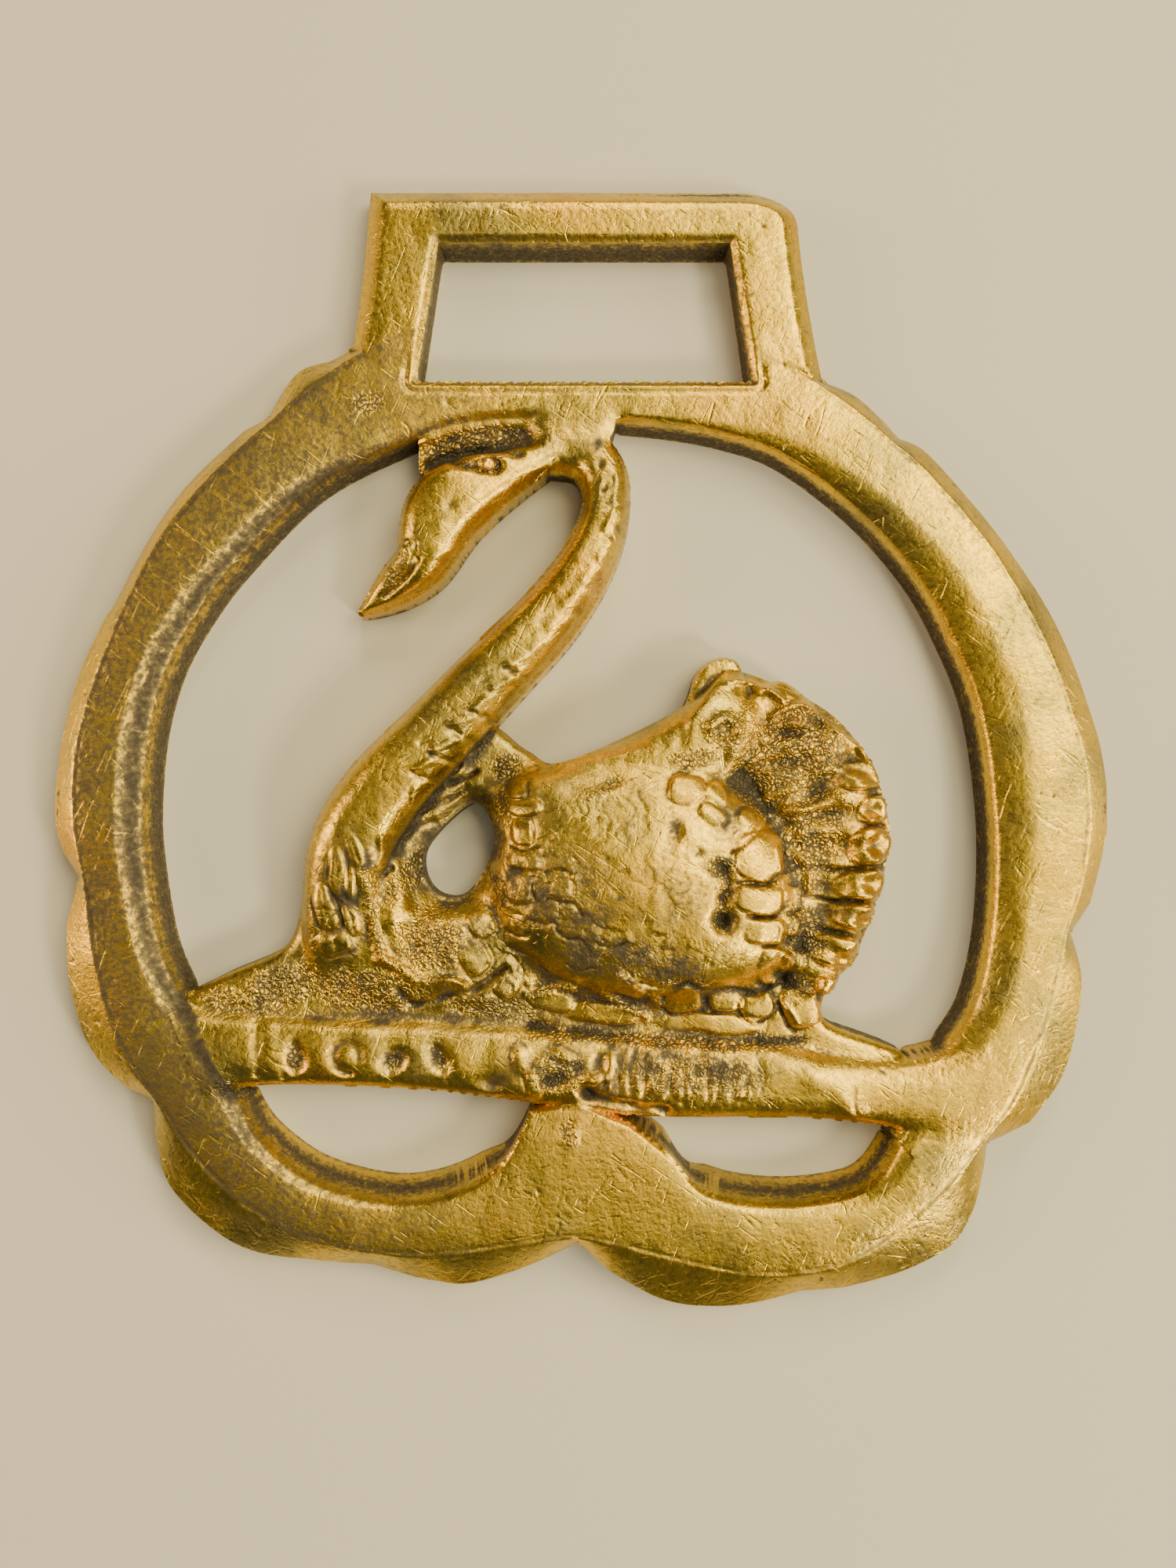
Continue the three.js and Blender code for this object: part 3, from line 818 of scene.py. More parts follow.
@dataclass
class WaterBar(Form):
    """Bar of water under the swan, with punched drops, a knot of scrolls and a hatched stretch."""

    top: float = 4.9
    upper: Line = (
        (-47, -32), (-38, -33.3), (-20, -34), (0, -35.3), (20, -36.6), (32, -38.8), (41, -39), (49, -36))
    lower: Line = (
        (-42, -44), (-36, -42.3), (-18, -42.8), (-4, -44.5), (10, -46.3), (27, -46.4), (38, -47.6),
        (46, -50))
    drops: Line = ((-22.9, -25.0), (-15.2, -25.3), (-11.4, -25.1))
    drop_shapes: tuple[tuple[float, float, float], ...] = ((2.5, 1.35, 92), (1.9, 1.5, 60), (2.3, 1.3, 122))
    drop_pitch: float = 3.85
    drop_depth: float = 0.8
    swell: float = 0.05
    hook: Line = (
        (-17.6, -25.2), (-17.9, -24.1), (-18.9, -23.8), (-19.8, -24.7), (-19.5, -26.0), (-18.4, -26.4))
    curls: Rows = (
        (-3.6, -27.2, 2.5, 1.2, 98, 0.55), (-1.1, -25.1, 2.8, 1.0, 150, 0.35),
        (1.0, -26.9, 2.3, 0.9, 20, 0.3), (2.4, -26.3, 2.8, 0.8, 84, 0.35), (-4.7, -25.3, 2.6, 1.4, 110, 0.3))
    curl_holes: Rows = (
        (-2.1, -26.9, 2.6, 1.4, 10), (-0.3, -26.1, 1.7, 1.2, 40), (1.5, -25.5, 1.5, 1.0, 60),
        (0.6, -28.0, 1.6, 0.8, -20))
    crevice: Line = ((0.5, -27.9), (2.2, -28.6), (4.4, -29.2), (6.8, -29.5))
    strokes: int = 12
    stroke_pitch: float = 1.02

    def work(self) -> None:
        """Raise the bar on the sheet and punch its pattern."""
        sheet = self.sheet
        upper = through(self.sizes.in_opening(self.upper))
        lower = through(self.sizes.in_opening(self.lower))
        where, within = sheet.measure(np.vstack([upper, lower[::-1]]))
        x, y = sheet.x[where], sheet.y[where]
        head = np.interp(x, upper[:, 0], upper[:, 1])
        foot = np.interp(x, lower[:, 0], lower[:, 1])
        share = (head - y) / np.maximum(head - foot, 0.5)
        profile = 0.70 + 0.30 * np.sqrt(np.clip(1 - np.abs(2 * share - 1) ** 2.6, 0, 1))
        height = np.where(within > -0.2, self.top * profile, -1)
        sheet.cover_with(where, within)
        sheet.raise_to(where, height, 0.3)
        swell = self.swell * np.cos((x - self.drops[0][0]) * 2 * math.pi / self.drop_pitch)
        sheet.height[where] -= swell * (within > 0) * smoothstep(-6, -9, x) * smoothstep(-27, -24, x)
        self.punch()
        self.scrolls()
        self.hatching()

    def punch(self) -> None:
        """Punch the row of drops, and the hook between them, into the left half of the bar."""
        sheet = self.sheet
        for (across, up), (length, width, turn) in zip(self.drops, self.drop_shapes):
            sheet.sink((across, up), length, width, turn, self.drop_depth, 0.6, 3.4)
            sheet.sink((across - 0.15, up + 0.1), length * 0.6, width * 0.6, turn, -0.22, 0.0, 2.0)
            sheet.stain((across, up), length, width, turn, 0.1, 0.7)
        sheet.cut(self.hook, 0.24, 0.45, 0.7)
        for line, depth in ((((-24.3, -22.2), (-24.2, -24.5), (-23.9, -26.6)), 0.22),
                            (((-26.1, -20.2), (-26.2, -23.0), (-26.0, -26.4)), 0.30),
                            (((-26.4, -21.6), (-20.0, -22.0), (-14.0, -22.1), (-8.0, -22.4)), 0.20)):
            sheet.cut(line, 0.3, depth, 0.5)
        sheet.sink((-7.0, -27.0), 1.7, 1.3, 0, 0.5, 0.8)

    def scrolls(self) -> None:
        """Raise the knot of small scrolls in the middle of the bar, beside its crevice."""
        sheet = self.sheet
        sheet.lay_all(self.curls, 0.2, 0.3, 0.75)
        for x, y, length, width, turn in self.curl_holes:
            sheet.sink((x, y), length, width, turn, 0.5, 0.9, 2.5)
        sheet.cut(self.crevice, 0.45, 0.7, 0.95)

    def hatching(self) -> None:
        """Cut the upright strokes of the dark stretch, and leave flakes between them."""
        sheet = self.sheet
        for index in range(self.strokes):
            place = (3.2 + index * self.stroke_pitch, -26.1 - index * 0.05 + 0.7 * math.sin(index * 2.4))
            length, lean = 2.8 + 0.9 * math.sin(index * 1.7), 84 + 12 * math.sin(index * 3.1)
            sheet.sink(place, length, 0.5, lean, 0.28, 0.5, 2.2)
        for x, y, size in ((8.1, -27.9, 1.2), (13.2, -28.0, 0.9), (6.0, -25.2, 1.3), (10.6, -25.6, 1.2)):
            sheet.lay((x, y), size * 1.2, size, 70, 0.2, 0.0, 0.2, 0.0, 0.5)
        sheet.cut(((17.1, -25.0), (19.4, -26.8), (21.5, -29.2)), 1.3, -0.3)
        sheet.cut(((21.9, -25.6), (22.1, -27.5), (22.2, -29.4)), 0.2, 0.1, 0.4)


@dataclass
class Swan(Form):
    """Swan with a curved neck, a bulging wing and a fanned tail."""

    plate_top: float = 3.5
    neck_height: float = 6.8
    head_height: float = 5.9
    wing_foot: float = 4.55
    wing_top: float = 8.2
    back_top: float = 6.1
    breast_top: float = 4.8
    plate: Line = (
        (-26, -3), (-30.4, -11), (-31.8, -20), (-34, -25), (-42, -29), (-47, -33), (-40, -40), (-20, -41),
        (5, -41.5), (32, -43), (40, -39), (30.5, -34.5), (30.9, -30), (34, -26), (37, -17), (38, -10),
        (36, -2), (31.5, 4.5), (25, 8.5), (18.6, 10.4), (14.5, 6.6), (7, 2.2), (-1.5, -1.4), (-5.4, 0.4),
        (-12, 4))
    wing: Line = (
        (-6.4, -4), (3, -1.8), (14.3, -2), (21.6, -6.6), (25.3, -14.9), (24.6, -26), (15, -30.2),
        (3, -29.6), (-6.6, -23.5), (-8.8, -13))
    back: Line = ((-3.6, -3), (7, 1.6), (14.8, 6.6), (18.5, 9.6), (22, 4), (17, -6), (5, -10))
    breast: Line = (
        (-30, -12), (-31, -21), (-28, -29.5), (-18, -32), (-6, -31), (-4, -24), (-10, -20), (-18, -20),
        (-21, -12))
    window: Line = (
        (-11.6, -6.5), (-9, -9.4), (-9.3, -13.2), (-12.4, -18.2), (-15.6, -18.2), (-17.4, -15.5),
        (-16.8, -11.6))
    neck: tuple[tuple[float, float, float, float], ...] = (
        (-28.0, -31, 3.4, 42), (-27.4, -26, 4.2, 68), (-26.8, -19, 4.8, 82), (-25.6, -12, 5, 94),
        (-22.2, -5.4, 4.8, 100), (-15.4, 2.5, 4.4, 102), (-8, 10.9, 4.1, 100), (-2.3, 17.4, 3.8, 96),
        (1.9, 23.9, 3.3, 91), (4.1, 29.9, 2.9, 82), (4.1, 35, 2.9, 70), (1.8, 38.2, 3, 60),
        (-2.2, 38.6, 2.6, 58))
    head: tuple[tuple[float, float, float, float], ...] = (
        (-2, 38.2, 1.6, 70), (-6.4, 36, 2.6, 84), (-11.6, 33.4, 4.1, 98), (-15, 30.4, 4.6, 100),
        (-17.3, 24.6, 3.3, 96), (-19.9, 21.9, 2.7, 80), (-22.4, 19.8, 1.7, 62), (-24.7, 18, 0.5, 50))
    web: Line = ((-18, 36), (-17.8, 43), (-2, 45.5), (-2, 37), (-8, 34))
    join: Line = (
        (-3.6, 37.6), (-3.4, 40), (-4.6, 42), (-1, 45), (6, 44.5), (5.2, 41), (3.6, 38), (-1, 36.6))
    join_top: float = 4.15
    frame_level: float = 3.6
    web_top: float = 2.5
    fan_root: Pair = (12.5, -13)
    fan_ribs: tuple[float, ...] = (75, 53, 35, 20, 8, -3, -14, -26, -40)
    fan_reach: float = 0.242
    hollows: Rows = (
        (16.5, -1.2, 3.4, 1.3, 10, 0.45, 0.48), (19.2, -3.3, 2.9, 1.7, 10, 0.55, 0.51),
        (16.8, 0.9, 2.4, 1.1, 15, 0.3, 0.36), (21.5, -0.8, 1.8, 0.9, 25, 0.3, 0.3),
        (13.5, -3.6, 5.4, 3.0, -50, 0.6, 0.39), (20.8, -5.6, 4.4, 1.5, 0, 0.5, 0.39),
        (20.1, -8.2, 4.0, 2.4, 0, 0.5, 0.39), (19.4, -11.3, 3.6, 1.7, -4, 0.5, 0.39),
        (19.2, -13.6, 3.0, 1.9, -10, 0.5, 0.36), (17.8, -15.8, 3.0, 1.4, -15, 0.5, 0.39),
        (17.2, -18.8, 3.4, 1.5, -20, 0.6, 0.45), (21.3, -9.75, 5.5, 0.5, 0, 0.5, 0.54),
        (20.9, -12.4, 4.6, 0.45, -6, 0.5, 0.54), (20.5, -14.9, 4.6, 0.6, -14, 0.5, 0.48))
    grain_ridges: tuple[Line, ...] = (
        ((13.5, -1.3), (15.5, -0.3), (17.5, 0.6)), ((14.5, 1.2), (16.5, 1.8), (18.8, 1.6)),
        ((15.0, -4.0), (17.5, -3.2), (20.3, -1.8)), ((16.5, -5.0), (18.5, -4.9), (21.0, -4.2)),
        ((16.8, -7.2), (18.3, -7.0), (19.6, -6.6)), ((17.0, -8.5), (18.2, -9.4), (18.4, -11.5)),
        ((17.6, -13.5), (17.2, -15.0), (16.6, -16.8)), ((10.4, 1.6), (11.6, 2.4), (12.6, 1.2)))
    rim_crests: tuple[Line, ...] = (
        ((11.9, 5.2), (12.8, 5.4), (14.0, 5.1), (15.5, 4.3), (16.2, 3.7)),
        ((15.5, 2.5), (17.5, 3.3), (19.0, 2.9), (20.2, 1.6), (21.4, 1.0), (22.4, 0.0), (23.4, -1.0)))
    fingers: Rows = (
        (22.5, -2.3, 3.6, 2.3, 6), (23.7, -5.1, 2.6, 2.1, 2), (23.5, -8.0, 3.2, 2.8, 0),
        (22.8, -11.1, 4.2, 2.2, -2), (22.0, -13.5, 3.6, 2.2, -10), (20.4, -16.4, 4.3, 2.5, -12),
        (19.6, -19.2, 1.6, 1.3, -25), (17.9, -21.1, 3.1, 2.8, -62))
    covert_feathers: Rows = (
        (16.8, -12.2, 1.9, 1.9, 0, 0.25), (16.7, -14.4, 1.7, 1.6, -8, 0.25),
        (16.9, -17.3, 1.9, 2.1, -12, 0.3), (8.4, -3.4, 2.6, 2.9, 80, 0.4), (10.8, -3.8, 1.7, 2.2, 70, 0.35),
        (10.4, -5.4, 1.5, 2.2, 60, 0.25), (13.0, -5.7, 1.4, 1.5, 50, 0.3), (14.2, -8.7, 4.2, 3.9, 0, 0.45),
        (14.2, -12.1, 3.8, 2.5, -4, 0.45), (14.7, -14.7, 3.4, 2.4, -8, 0.4),
        (15.5, -17.7, 2.6, 3.3, -20, 0.4))
    covert_creases: tuple[Line, ...] = (
        ((12.0, -8.4), (13.4, -7.4), (15.0, -6.0)),
        ((12.3, -10.9), (14.2, -10.9), (15.4, -10.3), (16.4, -10.0)),
        ((13.2, -13.5), (14.8, -13.5), (15.6, -13.1), (16.6, -12.6)),
        ((14.6, -16.1), (16.2, -15.8), (17.2, -15.3)))
    covert_crests: tuple[Line, ...] = (
        ((15.6, -8.2), (15.9, -9.9)), ((15.6, -10.7), (15.9, -11.8), (15.7, -12.7)),
        ((15.7, -13.6), (15.9, -14.6), (15.8, -15.6)), ((16.6, -16.6), (16.4, -18.2)))
    keyhole: Line = ((11.1, -9.6), (11.4, -11.0), (11.4, -12.6), (11.3, -14.0))
    scales: Rows = (
        (-5.0, -3.2, 1.7, 1.6, -90, 0.35), (-4.4, -4.7, 1.5, 2.8, -90, 0.35),
        (-4.6, -6.7, 2.0, 2.0, -90, 0.35), (-4.5, -9.0, 1.8, 2.4, -90, 0.2),
        (-4.9, -11.2, 2.2, 2.3, -90, 0.2), (-8.0, -14.1, 2.6, 2.0, -70, 0.3),
        (-8.5, -16.9, 2.6, 2.3, -60, 0.3), (-5.9, -19.3, 1.9, 2.3, -50, 0.3))
    cracks: tuple[Line, ...] = (
        ((-5.6, -8.0), (-4.4, -8.3), (-3.2, -8.0)),
        ((-5.4, -9.7), (-4.2, -9.9), (-3.1, -9.6), (-2.9, -8.7)),
        ((-3.4, -9.8), (-3.7, -11.2), (-3.4, -12.2)),
        ((-2.6, -9.9), (-1.3, -9.8), (-0.7, -10.4), (-0.7, -11.6)),
        ((-2.6, -12.0), (-1.4, -12.3), (-0.5, -12.5), (0.2, -13.3)),
        ((-6.0, -14.8), (-5.0, -15.1), (-4.1, -15.1)),
        ((-4.1, -13.8), (-3.0, -14.0), (-2.2, -13.6), (-1.8, -14.5), (-1.1, -15.1), (-0.2, -15.0)),
        ((-5.8, -16.2), (-4.6, -16.6), (-3.6, -16.9), (-3.2, -17.6), (-2.7, -18.1)),
        ((-7.2, -18.5), (-6.5, -18.2), (-5.9, -17.8)), ((-5.9, -18.0), (-5.1, -18.9), (-4.4, -19.6)),
        ((-1.0, -17.2), (-0.2, -17.9), (1.0, -17.7)), ((1.2, -15.6), (2.4, -15.9), (3.6, -15.5)))
    long_feathers: Rows = (
        (-2.7, -20.5, 4.4, 1.8, -8, 0.35), (1.5, -21.6, 6.6, 1.7, -6, 0.35),
        (3.6, -19.3, 3.6, 1.3, -30, 0.25), (8.4, -20.6, 2.0, 3.1, -90, 0.4),
        (11.8, -20.7, 1.8, 2.6, -90, 0.35), (14.3, -21.0, 2.4, 2.8, -70, 0.5),
        (10.4, -22.5, 8.4, 1.6, -3, 0.35), (-10.8, -19.4, 3.6, 1.7, -4, 0.3))
    feather_crests: tuple[Line, ...] = (
        ((0.6, -18.8), (2.0, -20.0), (3.6, -20.9), (5.4, -22.0)),
        ((4.2, -19.1), (5.4, -19.9), (6.6, -20.8)), ((-4.3, -20.2), (-2.0, -19.4), (-0.6, -19.6)),
        ((3.0, -18.2), (4.2, -18.6)))
    under_wing: Line = (
        (4.8, -18.7), (7.0, -19.4), (8.5, -18.9), (10.2, -19.5), (12.2, -19.3), (14.0, -19.9), (15.4, -19.4))
    over_water: Line = ((-4.0, -22.6), (0.0, -23.2), (5.0, -23.7), (12.0, -24.0), (18.0, -23.8))
    neck_scallops: int = 13
    scallop_start: float = 21.0
    scallop_pitch: float = 2.2
    neck_feathers: Rows = (
        (-19.3, -10.0, 3.9, 1.3, -85, 0.3), (-20.4, -12.8, 3.8, 1.7, -80, 0.35),
        (-18.4, -13.7, 2.7, 1.5, -72, 0.25), (-19.8, -15.6, 2.4, 2.7, -66, 0.3),
        (-18.3, -11.0, 2.4, 0.9, -86, 0.2), (-17.9, -8.2, 3.0, 1.2, -72, 0.15))
    neck_steps: tuple[Line, ...] = (
        ((-9.2, -0.4), (-10.0, -1.9), (-11.2, -2.9)),
        ((-12.9, -3.5), (-13.2, -4.8), (-13.9, -6.2), (-14.7, -7.1)),
        ((-15.6, -7.4), (-15.7, -8.6), (-16.2, -9.6)))
    neck_creases: tuple[Line, ...] = (
        ((-10.8, -2.9), (-9.6, -2.5), (-8.6, -2.0)), ((-13.1, -5.3), (-11.5, -4.6), (-9.6, -3.2)),
        ((-14.8, -7.3), (-13.4, -6.6), (-12.2, -6.0)), ((-17.2, -10.1), (-16.3, -10.3), (-15.4, -9.8)))
    breast_ridges: tuple[Line, ...] = (
        ((-17.1, -10.2), (-16.6, -11.5), (-16.7, -13.2), (-16.5, -14.8), (-15.9, -16.6)),
        ((-15.8, -16.9), (-14.6, -17.6), (-13.4, -18.7)), ((-13.2, -18.9), (-11.2, -18.7), (-9.4, -19.2)))
    breast_crease: Line = (
        (-14.8, -19.6), (-13.6, -20.7), (-12.2, -20.8), (-10.6, -20.2), (-9.2, -19.8), (-7.8, -18.9),
        (-6.2, -17.9))
    neck_nicks: tuple[tuple[float, float, float], ...] = (
        (1.6, 24.5, 0.7), (1.7, 23.0, 0.5), (1.3, 21.6, 0.4), (1.9, 20.7, 0.4), (3.1, 17.4, 0.55),
        (2.6, 16.7, 0.3), (2.4, 15.2, 0.4), (1.4, 13.3, 0.8), (0.0, 10.8, 0.7))
    brow: Line = ((-13.2, 22.7), (-11.4, 23.7), (-9.5, 24.1), (-7.0, 24.2), (-5.0, 23.8))
    eye_hollow: Line = ((-10.2, 23.1), (-8.6, 22.6), (-6.8, 22.5))
    knob_edge: Line = ((-15.4, 15.9), (-14.4, 16.1), (-13.5, 15.7), (-12.9, 14.9))
    beak_edge: Line = ((-12.8, 14.7), (-14.3, 13.5), (-16.0, 12.2))
    jaw: Line = (
        (-12.2, 14.9), (-10.4, 15.7), (-8.2, 17.2), (-6.6, 18.9), (-5.7, 20.6), (-5.2, 21.6), (-3.8, 22.4),
        (-2.4, 22.8))

    def at(self, across: float, up: float) -> Pair:
        """Place one point given in hundredths of the opening."""
        place = self.sizes.in_opening([(across, up)])[0]
        return float(place[0]), float(place[1])

    def area(self, points: Line) -> Array:
        """Give the smooth closed outline of an area given in hundredths of the opening."""
        return through(self.sizes.in_opening(points), 6, True)

    def fan_point(self, degrees: float, share: float) -> Pair:
        """Place a point of the fan by its turn and its share of the reach.

        Args:
            degrees: turn about the fan's root.
            share: share of the reach there.

        Returns:
            Place in millimetres.
        """
        root = self.at(*self.fan_root)
        reach = self.fan_reach * self.sizes.opening_width * share
        turn = math.radians(degrees)
        return root[0] + math.cos(turn) * reach, root[1] + math.sin(turn) * reach

    def raise_body(self) -> None:
        """Raise the ground plate, the breast, the back and the wing."""
        sheet = self.sheet
        where, within = sheet.measure(self.area(self.plate))
        sheet.cover_with(where, within)
        edge = np.clip(1 - within / 0.8, 0, 1)
        sheet.raise_to(where, np.where(within > -0.3, self.plate_top - 0.7 * edge ** 2, -1), 0.2)
        dome_on(sheet, self.area(self.back), self.plate_top, self.back_top, 0.7)
        dome_on(sheet, self.area(self.breast), self.plate_top, self.breast_top, 0.7)
        self.raise_ribs()
        dome_on(sheet, self.area(self.wing), self.wing_foot, self.wing_top, 0.9)
        body = np.zeros(sheet.x.shape)
        body[where] = smoothstep(0.1, 0.8, within)
        sheet.soften(body, 0.28)

    def raise_ribs(self) -> None:
        """Raise the tail's broad ribs, which give it its scalloped outline."""
        sheet = self.sheet
        reach = self.fan_reach * self.sizes.opening_width
        ground = np.maximum(sheet.height, self.plate_top - 0.6)
        for index, degrees in enumerate(self.fan_ribs):
            before = self.fan_ribs[index - 1] if index else degrees + 10
            after = self.fan_ribs[index + 1] if index + 1 < len(self.fan_ribs) else degrees - 14
            width = math.radians((before - after) / 2) * reach * 0.92
            broad, rise = (0.42, 1.1) if index else (0.1, 0.4)
            sheet.lay(self.fan_point(degrees, 0.69), reach * 0.62, width, degrees, rise, broad, 0.3,
                      body=ground, outline=True)

    def raise_fan(self) -> None:
        """Work the tail: a rough basin inside a rim of rounded feather ends."""
        sheet = self.sheet
        for x, y, length, width, turn, depth, dark in self.hollows:
            sheet.sink((x, y), length, width, turn, depth, dark, 2.4)
        sheet.cut_all(self.grain_ridges, 0.42, -0.55, 0.0, 1.0)
        sheet.cut_all(self.rim_crests, 0.34, -0.7)
        for x, y, length, width, turn in self.fingers:
            sheet.lay((x, y), length * 1.12, width * 1.06, turn, 0.7, 0.12, 0.45, 0.0, 0.6, None, 2.8)
            ahead, side = math.radians(turn), math.radians(turn - 90)
            edge = [(x + math.cos(side) * width * 0.36 + math.cos(ahead) * length * share,
                     y + math.sin(side) * width * 0.36 + math.sin(ahead) * length * share)
                    for share in (-0.3, 0.0, 0.3)]
            sheet.cut(edge, 0.2, -0.16)

    def lay_coverts(self) -> None:
        """Lay the short feathers between the wing and the tail, and sink the keyhole hollow beside them."""
        sheet = self.sheet
        sheet.lay_all(self.covert_feathers, 0.0, 0.3, 0.5, 2.6)
        sheet.cut_all(self.covert_creases, 0.2, 0.35, 0.9)
        sheet.cut_all(self.covert_crests, 0.2, -0.25)
        sheet.cut(self.keyhole, 0.6, 0.8, 0.55, 0.9)
        sheet.sink(self.keyhole[0], 2.6, 1.6, 0, 0.3, 0.35)
        sheet.stain(self.keyhole[0], 2.8, 2.0, 0, 0.2, 1.0)
        sheet.sink(self.keyhole[-1], 1.9, 1.9, 0, 0.45, 0.6, 3.0)
        sheet.sink((7.4, -7.0), 1.9, 1.0, 80, 0.35, 0.65)
        sheet.sink((9.4, -8.5), 0.9, 0.7, 0, 0.2, 0.6)

    def lay_scales(self) -> None:
        """Lay the scales of the shoulder, worn to fine cracks, and the long feathers under the wing."""
        sheet = self.sheet
        sheet.lay_all(self.scales, 0.0, 0.3, 0.6, 2.9)
        for line in self.cracks:
            sheet.cut(line, 0.14, 0.2, 1.0)
            sheet.cut([(x + 0.1, y + 0.5) for x, y in line], 0.45, -0.1)
        sheet.lay_all(self.long_feathers, 0.0, 0.2, 0.55, 2.7)
        sheet.cut_all(self.feather_crests, 0.34, -0.34, 0.0, 0.9)
        sheet.cut(self.under_wing, 0.26, 0.4, 0.85)
        sheet.cut(self.over_water, 0.4, 0.4, 0.45, 0.9)

    def raise_neck(self) -> None:
        """Raise the neck and lay its feathers."""
        sheet = self.sheet
        limb = Limb(sheet, self.neck, self.neck_height, 3.3, 0.3)
        limb.work()
        stations = limb.stations()
        steps = np.hypot(*np.diff(stations[:, :2], axis=0).T)
        lengths = np.concatenate([[0.0], np.cumsum(steps)])

        def on_neck(length: float, lateral: float) -> Pair:
            """Place a point by its length along the neck and its share of the half width to the right."""
            x, y, half = (float(np.interp(length, lengths, stations[:, k])) for k in range(3))
            ahead = [float(np.interp(length + 0.5, lengths, stations[:, k])) for k in range(2)]
            right = math.atan2(ahead[1] - y, ahead[0] - x) - math.pi / 2
            return x + math.cos(right) * half * lateral, y + math.sin(right) * half * lateral

        for index in range(self.neck_scallops):
            length = self.scallop_start + self.scallop_pitch * index
            fade = 1.0 - 0.45 * index / self.neck_scallops
            sway = 0.08 * math.sin(index * 2.1)
            ridge = ((1.9, 0.56 + sway), (0.6, 0.4 + sway), (-0.4, 0.3 + sway))
            crease = ((-0.55, 0.3 + sway), (-0.3, 0.58), (0.2, 0.92))
            sheet.cut([on_neck(length + step, side) for step, side in ridge], 0.3, -0.32 * fade)
            sheet.cut([on_neck(length + step, side) for step, side in crease], 0.24, 0.34 * fade, 0.8 * fade)
            if index % 3 == 1:
                sheet.cut([on_neck(length + 0.3, 0.1), on_neck(length - 0.5, 0.0)], 0.16, 0.1, 0.4)
        sheet.lay_all(self.neck_feathers, 0.1, 0.3, 0.75, 2.6, 0.05)
        sheet.cut_all(self.neck_steps, 0.3, -0.42)
        sheet.cut_all(self.neck_creases, 0.26, 0.4, 0.85)
        sheet.cut_all(self.breast_ridges, 0.5, -0.5, 0.0, 1.0)
        sheet.sink((-15.2, -13.8), 2.6, 2.0, 30, -0.6, 0.0)
        sheet.cut(self.breast_crease, 0.34, 0.45, 0.9)
        for x, y, size in self.neck_nicks:
            sheet.sink((x, y), size * 1.5, size, 70, 0.22, 0.85)

    def raise_head(self) -> None:
        """Raise the web, the head, its join with the frame, the beak and the small eye."""
        sheet = self.sheet
        where, within = sheet.measure(self.sizes.in_opening(self.web))
        sheet.cover_with(where, within)
        sheet.raise_to(where, np.where(within > -0.3, self.web_top, -1), 0.2)
        limb = Limb(sheet, self.head, self.head_height, 4.0, 0.2)
        limb.work()
        where, within = sheet.measure(self.sizes.in_opening(self.join), 1.5)
        sheet.cover_with(where, within)
        slope = smoothstep(27.6, 23.6, sheet.y[where])
        level = self.frame_level + (self.join_top - self.frame_level) * slope
        level = level - 0.08 - 1.6 * smoothstep(0.5, -1.2, within)
        sheet.raise_to(where, np.where(within > -1.2, level, -1), 0.12)
        joined = np.zeros(sheet.x.shape)
        joined[where] = smoothstep(-1.4, 0.4, within) * (sheet.cover[where] > 0.1)
        sheet.soften(joined, 0.5)
        head = np.zeros(sheet.x.shape)
        around = sheet.around(limb.stations(), 3.5)
        head[around] = smoothstep(0.05, 0.5, sheet.cover[around])
        sheet.soften(head, 0.2)
        sheet.stain((-8.8, 24.8), 11.5, 3.2, 10, 0.4, 1.0)
        sheet.cut(self.brow, 0.42, 0.5, 0.85, 0.6)
        sheet.cut(self.eye_hollow, 0.5, 0.8, 0.85, 0.9)
        sheet.lay((-7.6, 22.7), 1.6, 0.95, 5, 0.75, 0.0, 0.0, 0.0, 0.8)
        sheet.lay((-14.3, 15.1), 2.7, 1.9, 60, 0.4, 0.0, 0.0, 0.0, 0.75)
        sheet.cut(self.knob_edge, 0.2, 0.3, 0.85)
        sheet.cut(self.beak_edge, 0.2, 0.25, 0.7)
        sheet.stain((-14.9, 14.3), 4.4, 1.7, 48, 0.25, 1.0)
        sheet.cut(self.jaw, 0.22, -0.13)
        sheet.sink((-10.4, 19.3), 0.9, 0.5, 40, 0.12, 0.6)

    def cut_window(self) -> None:
        """Cut the window between the neck and the wing."""
        sheet = self.sheet
        where, within = sheet.measure(self.area(self.window), 3.0)
        sheet.cover[where] = np.minimum(sheet.cover[where], -within)
        outside = np.clip(-within, 0, 9)
        sheet.height[where] -= bell(outside, 0.9)
        sheet.darken(where, 0.6 * bell(outside, 0.8))

    def work(self) -> None:
        """Raise the whole swan on the sheet."""
        self.raise_body()
        self.raise_fan()
        self.lay_scales()
        self.lay_coverts()
        self.raise_neck()
        self.raise_head()
        self.cut_window()


class Wear(Enum):
    """Where the casting's surface is left rough from the sand, or has gone dark."""

    FAN = "fan"
    BREAST = "breast"
    SHOULDER = "shoulder"
    WATER = "water"
    FRAME = "frame"


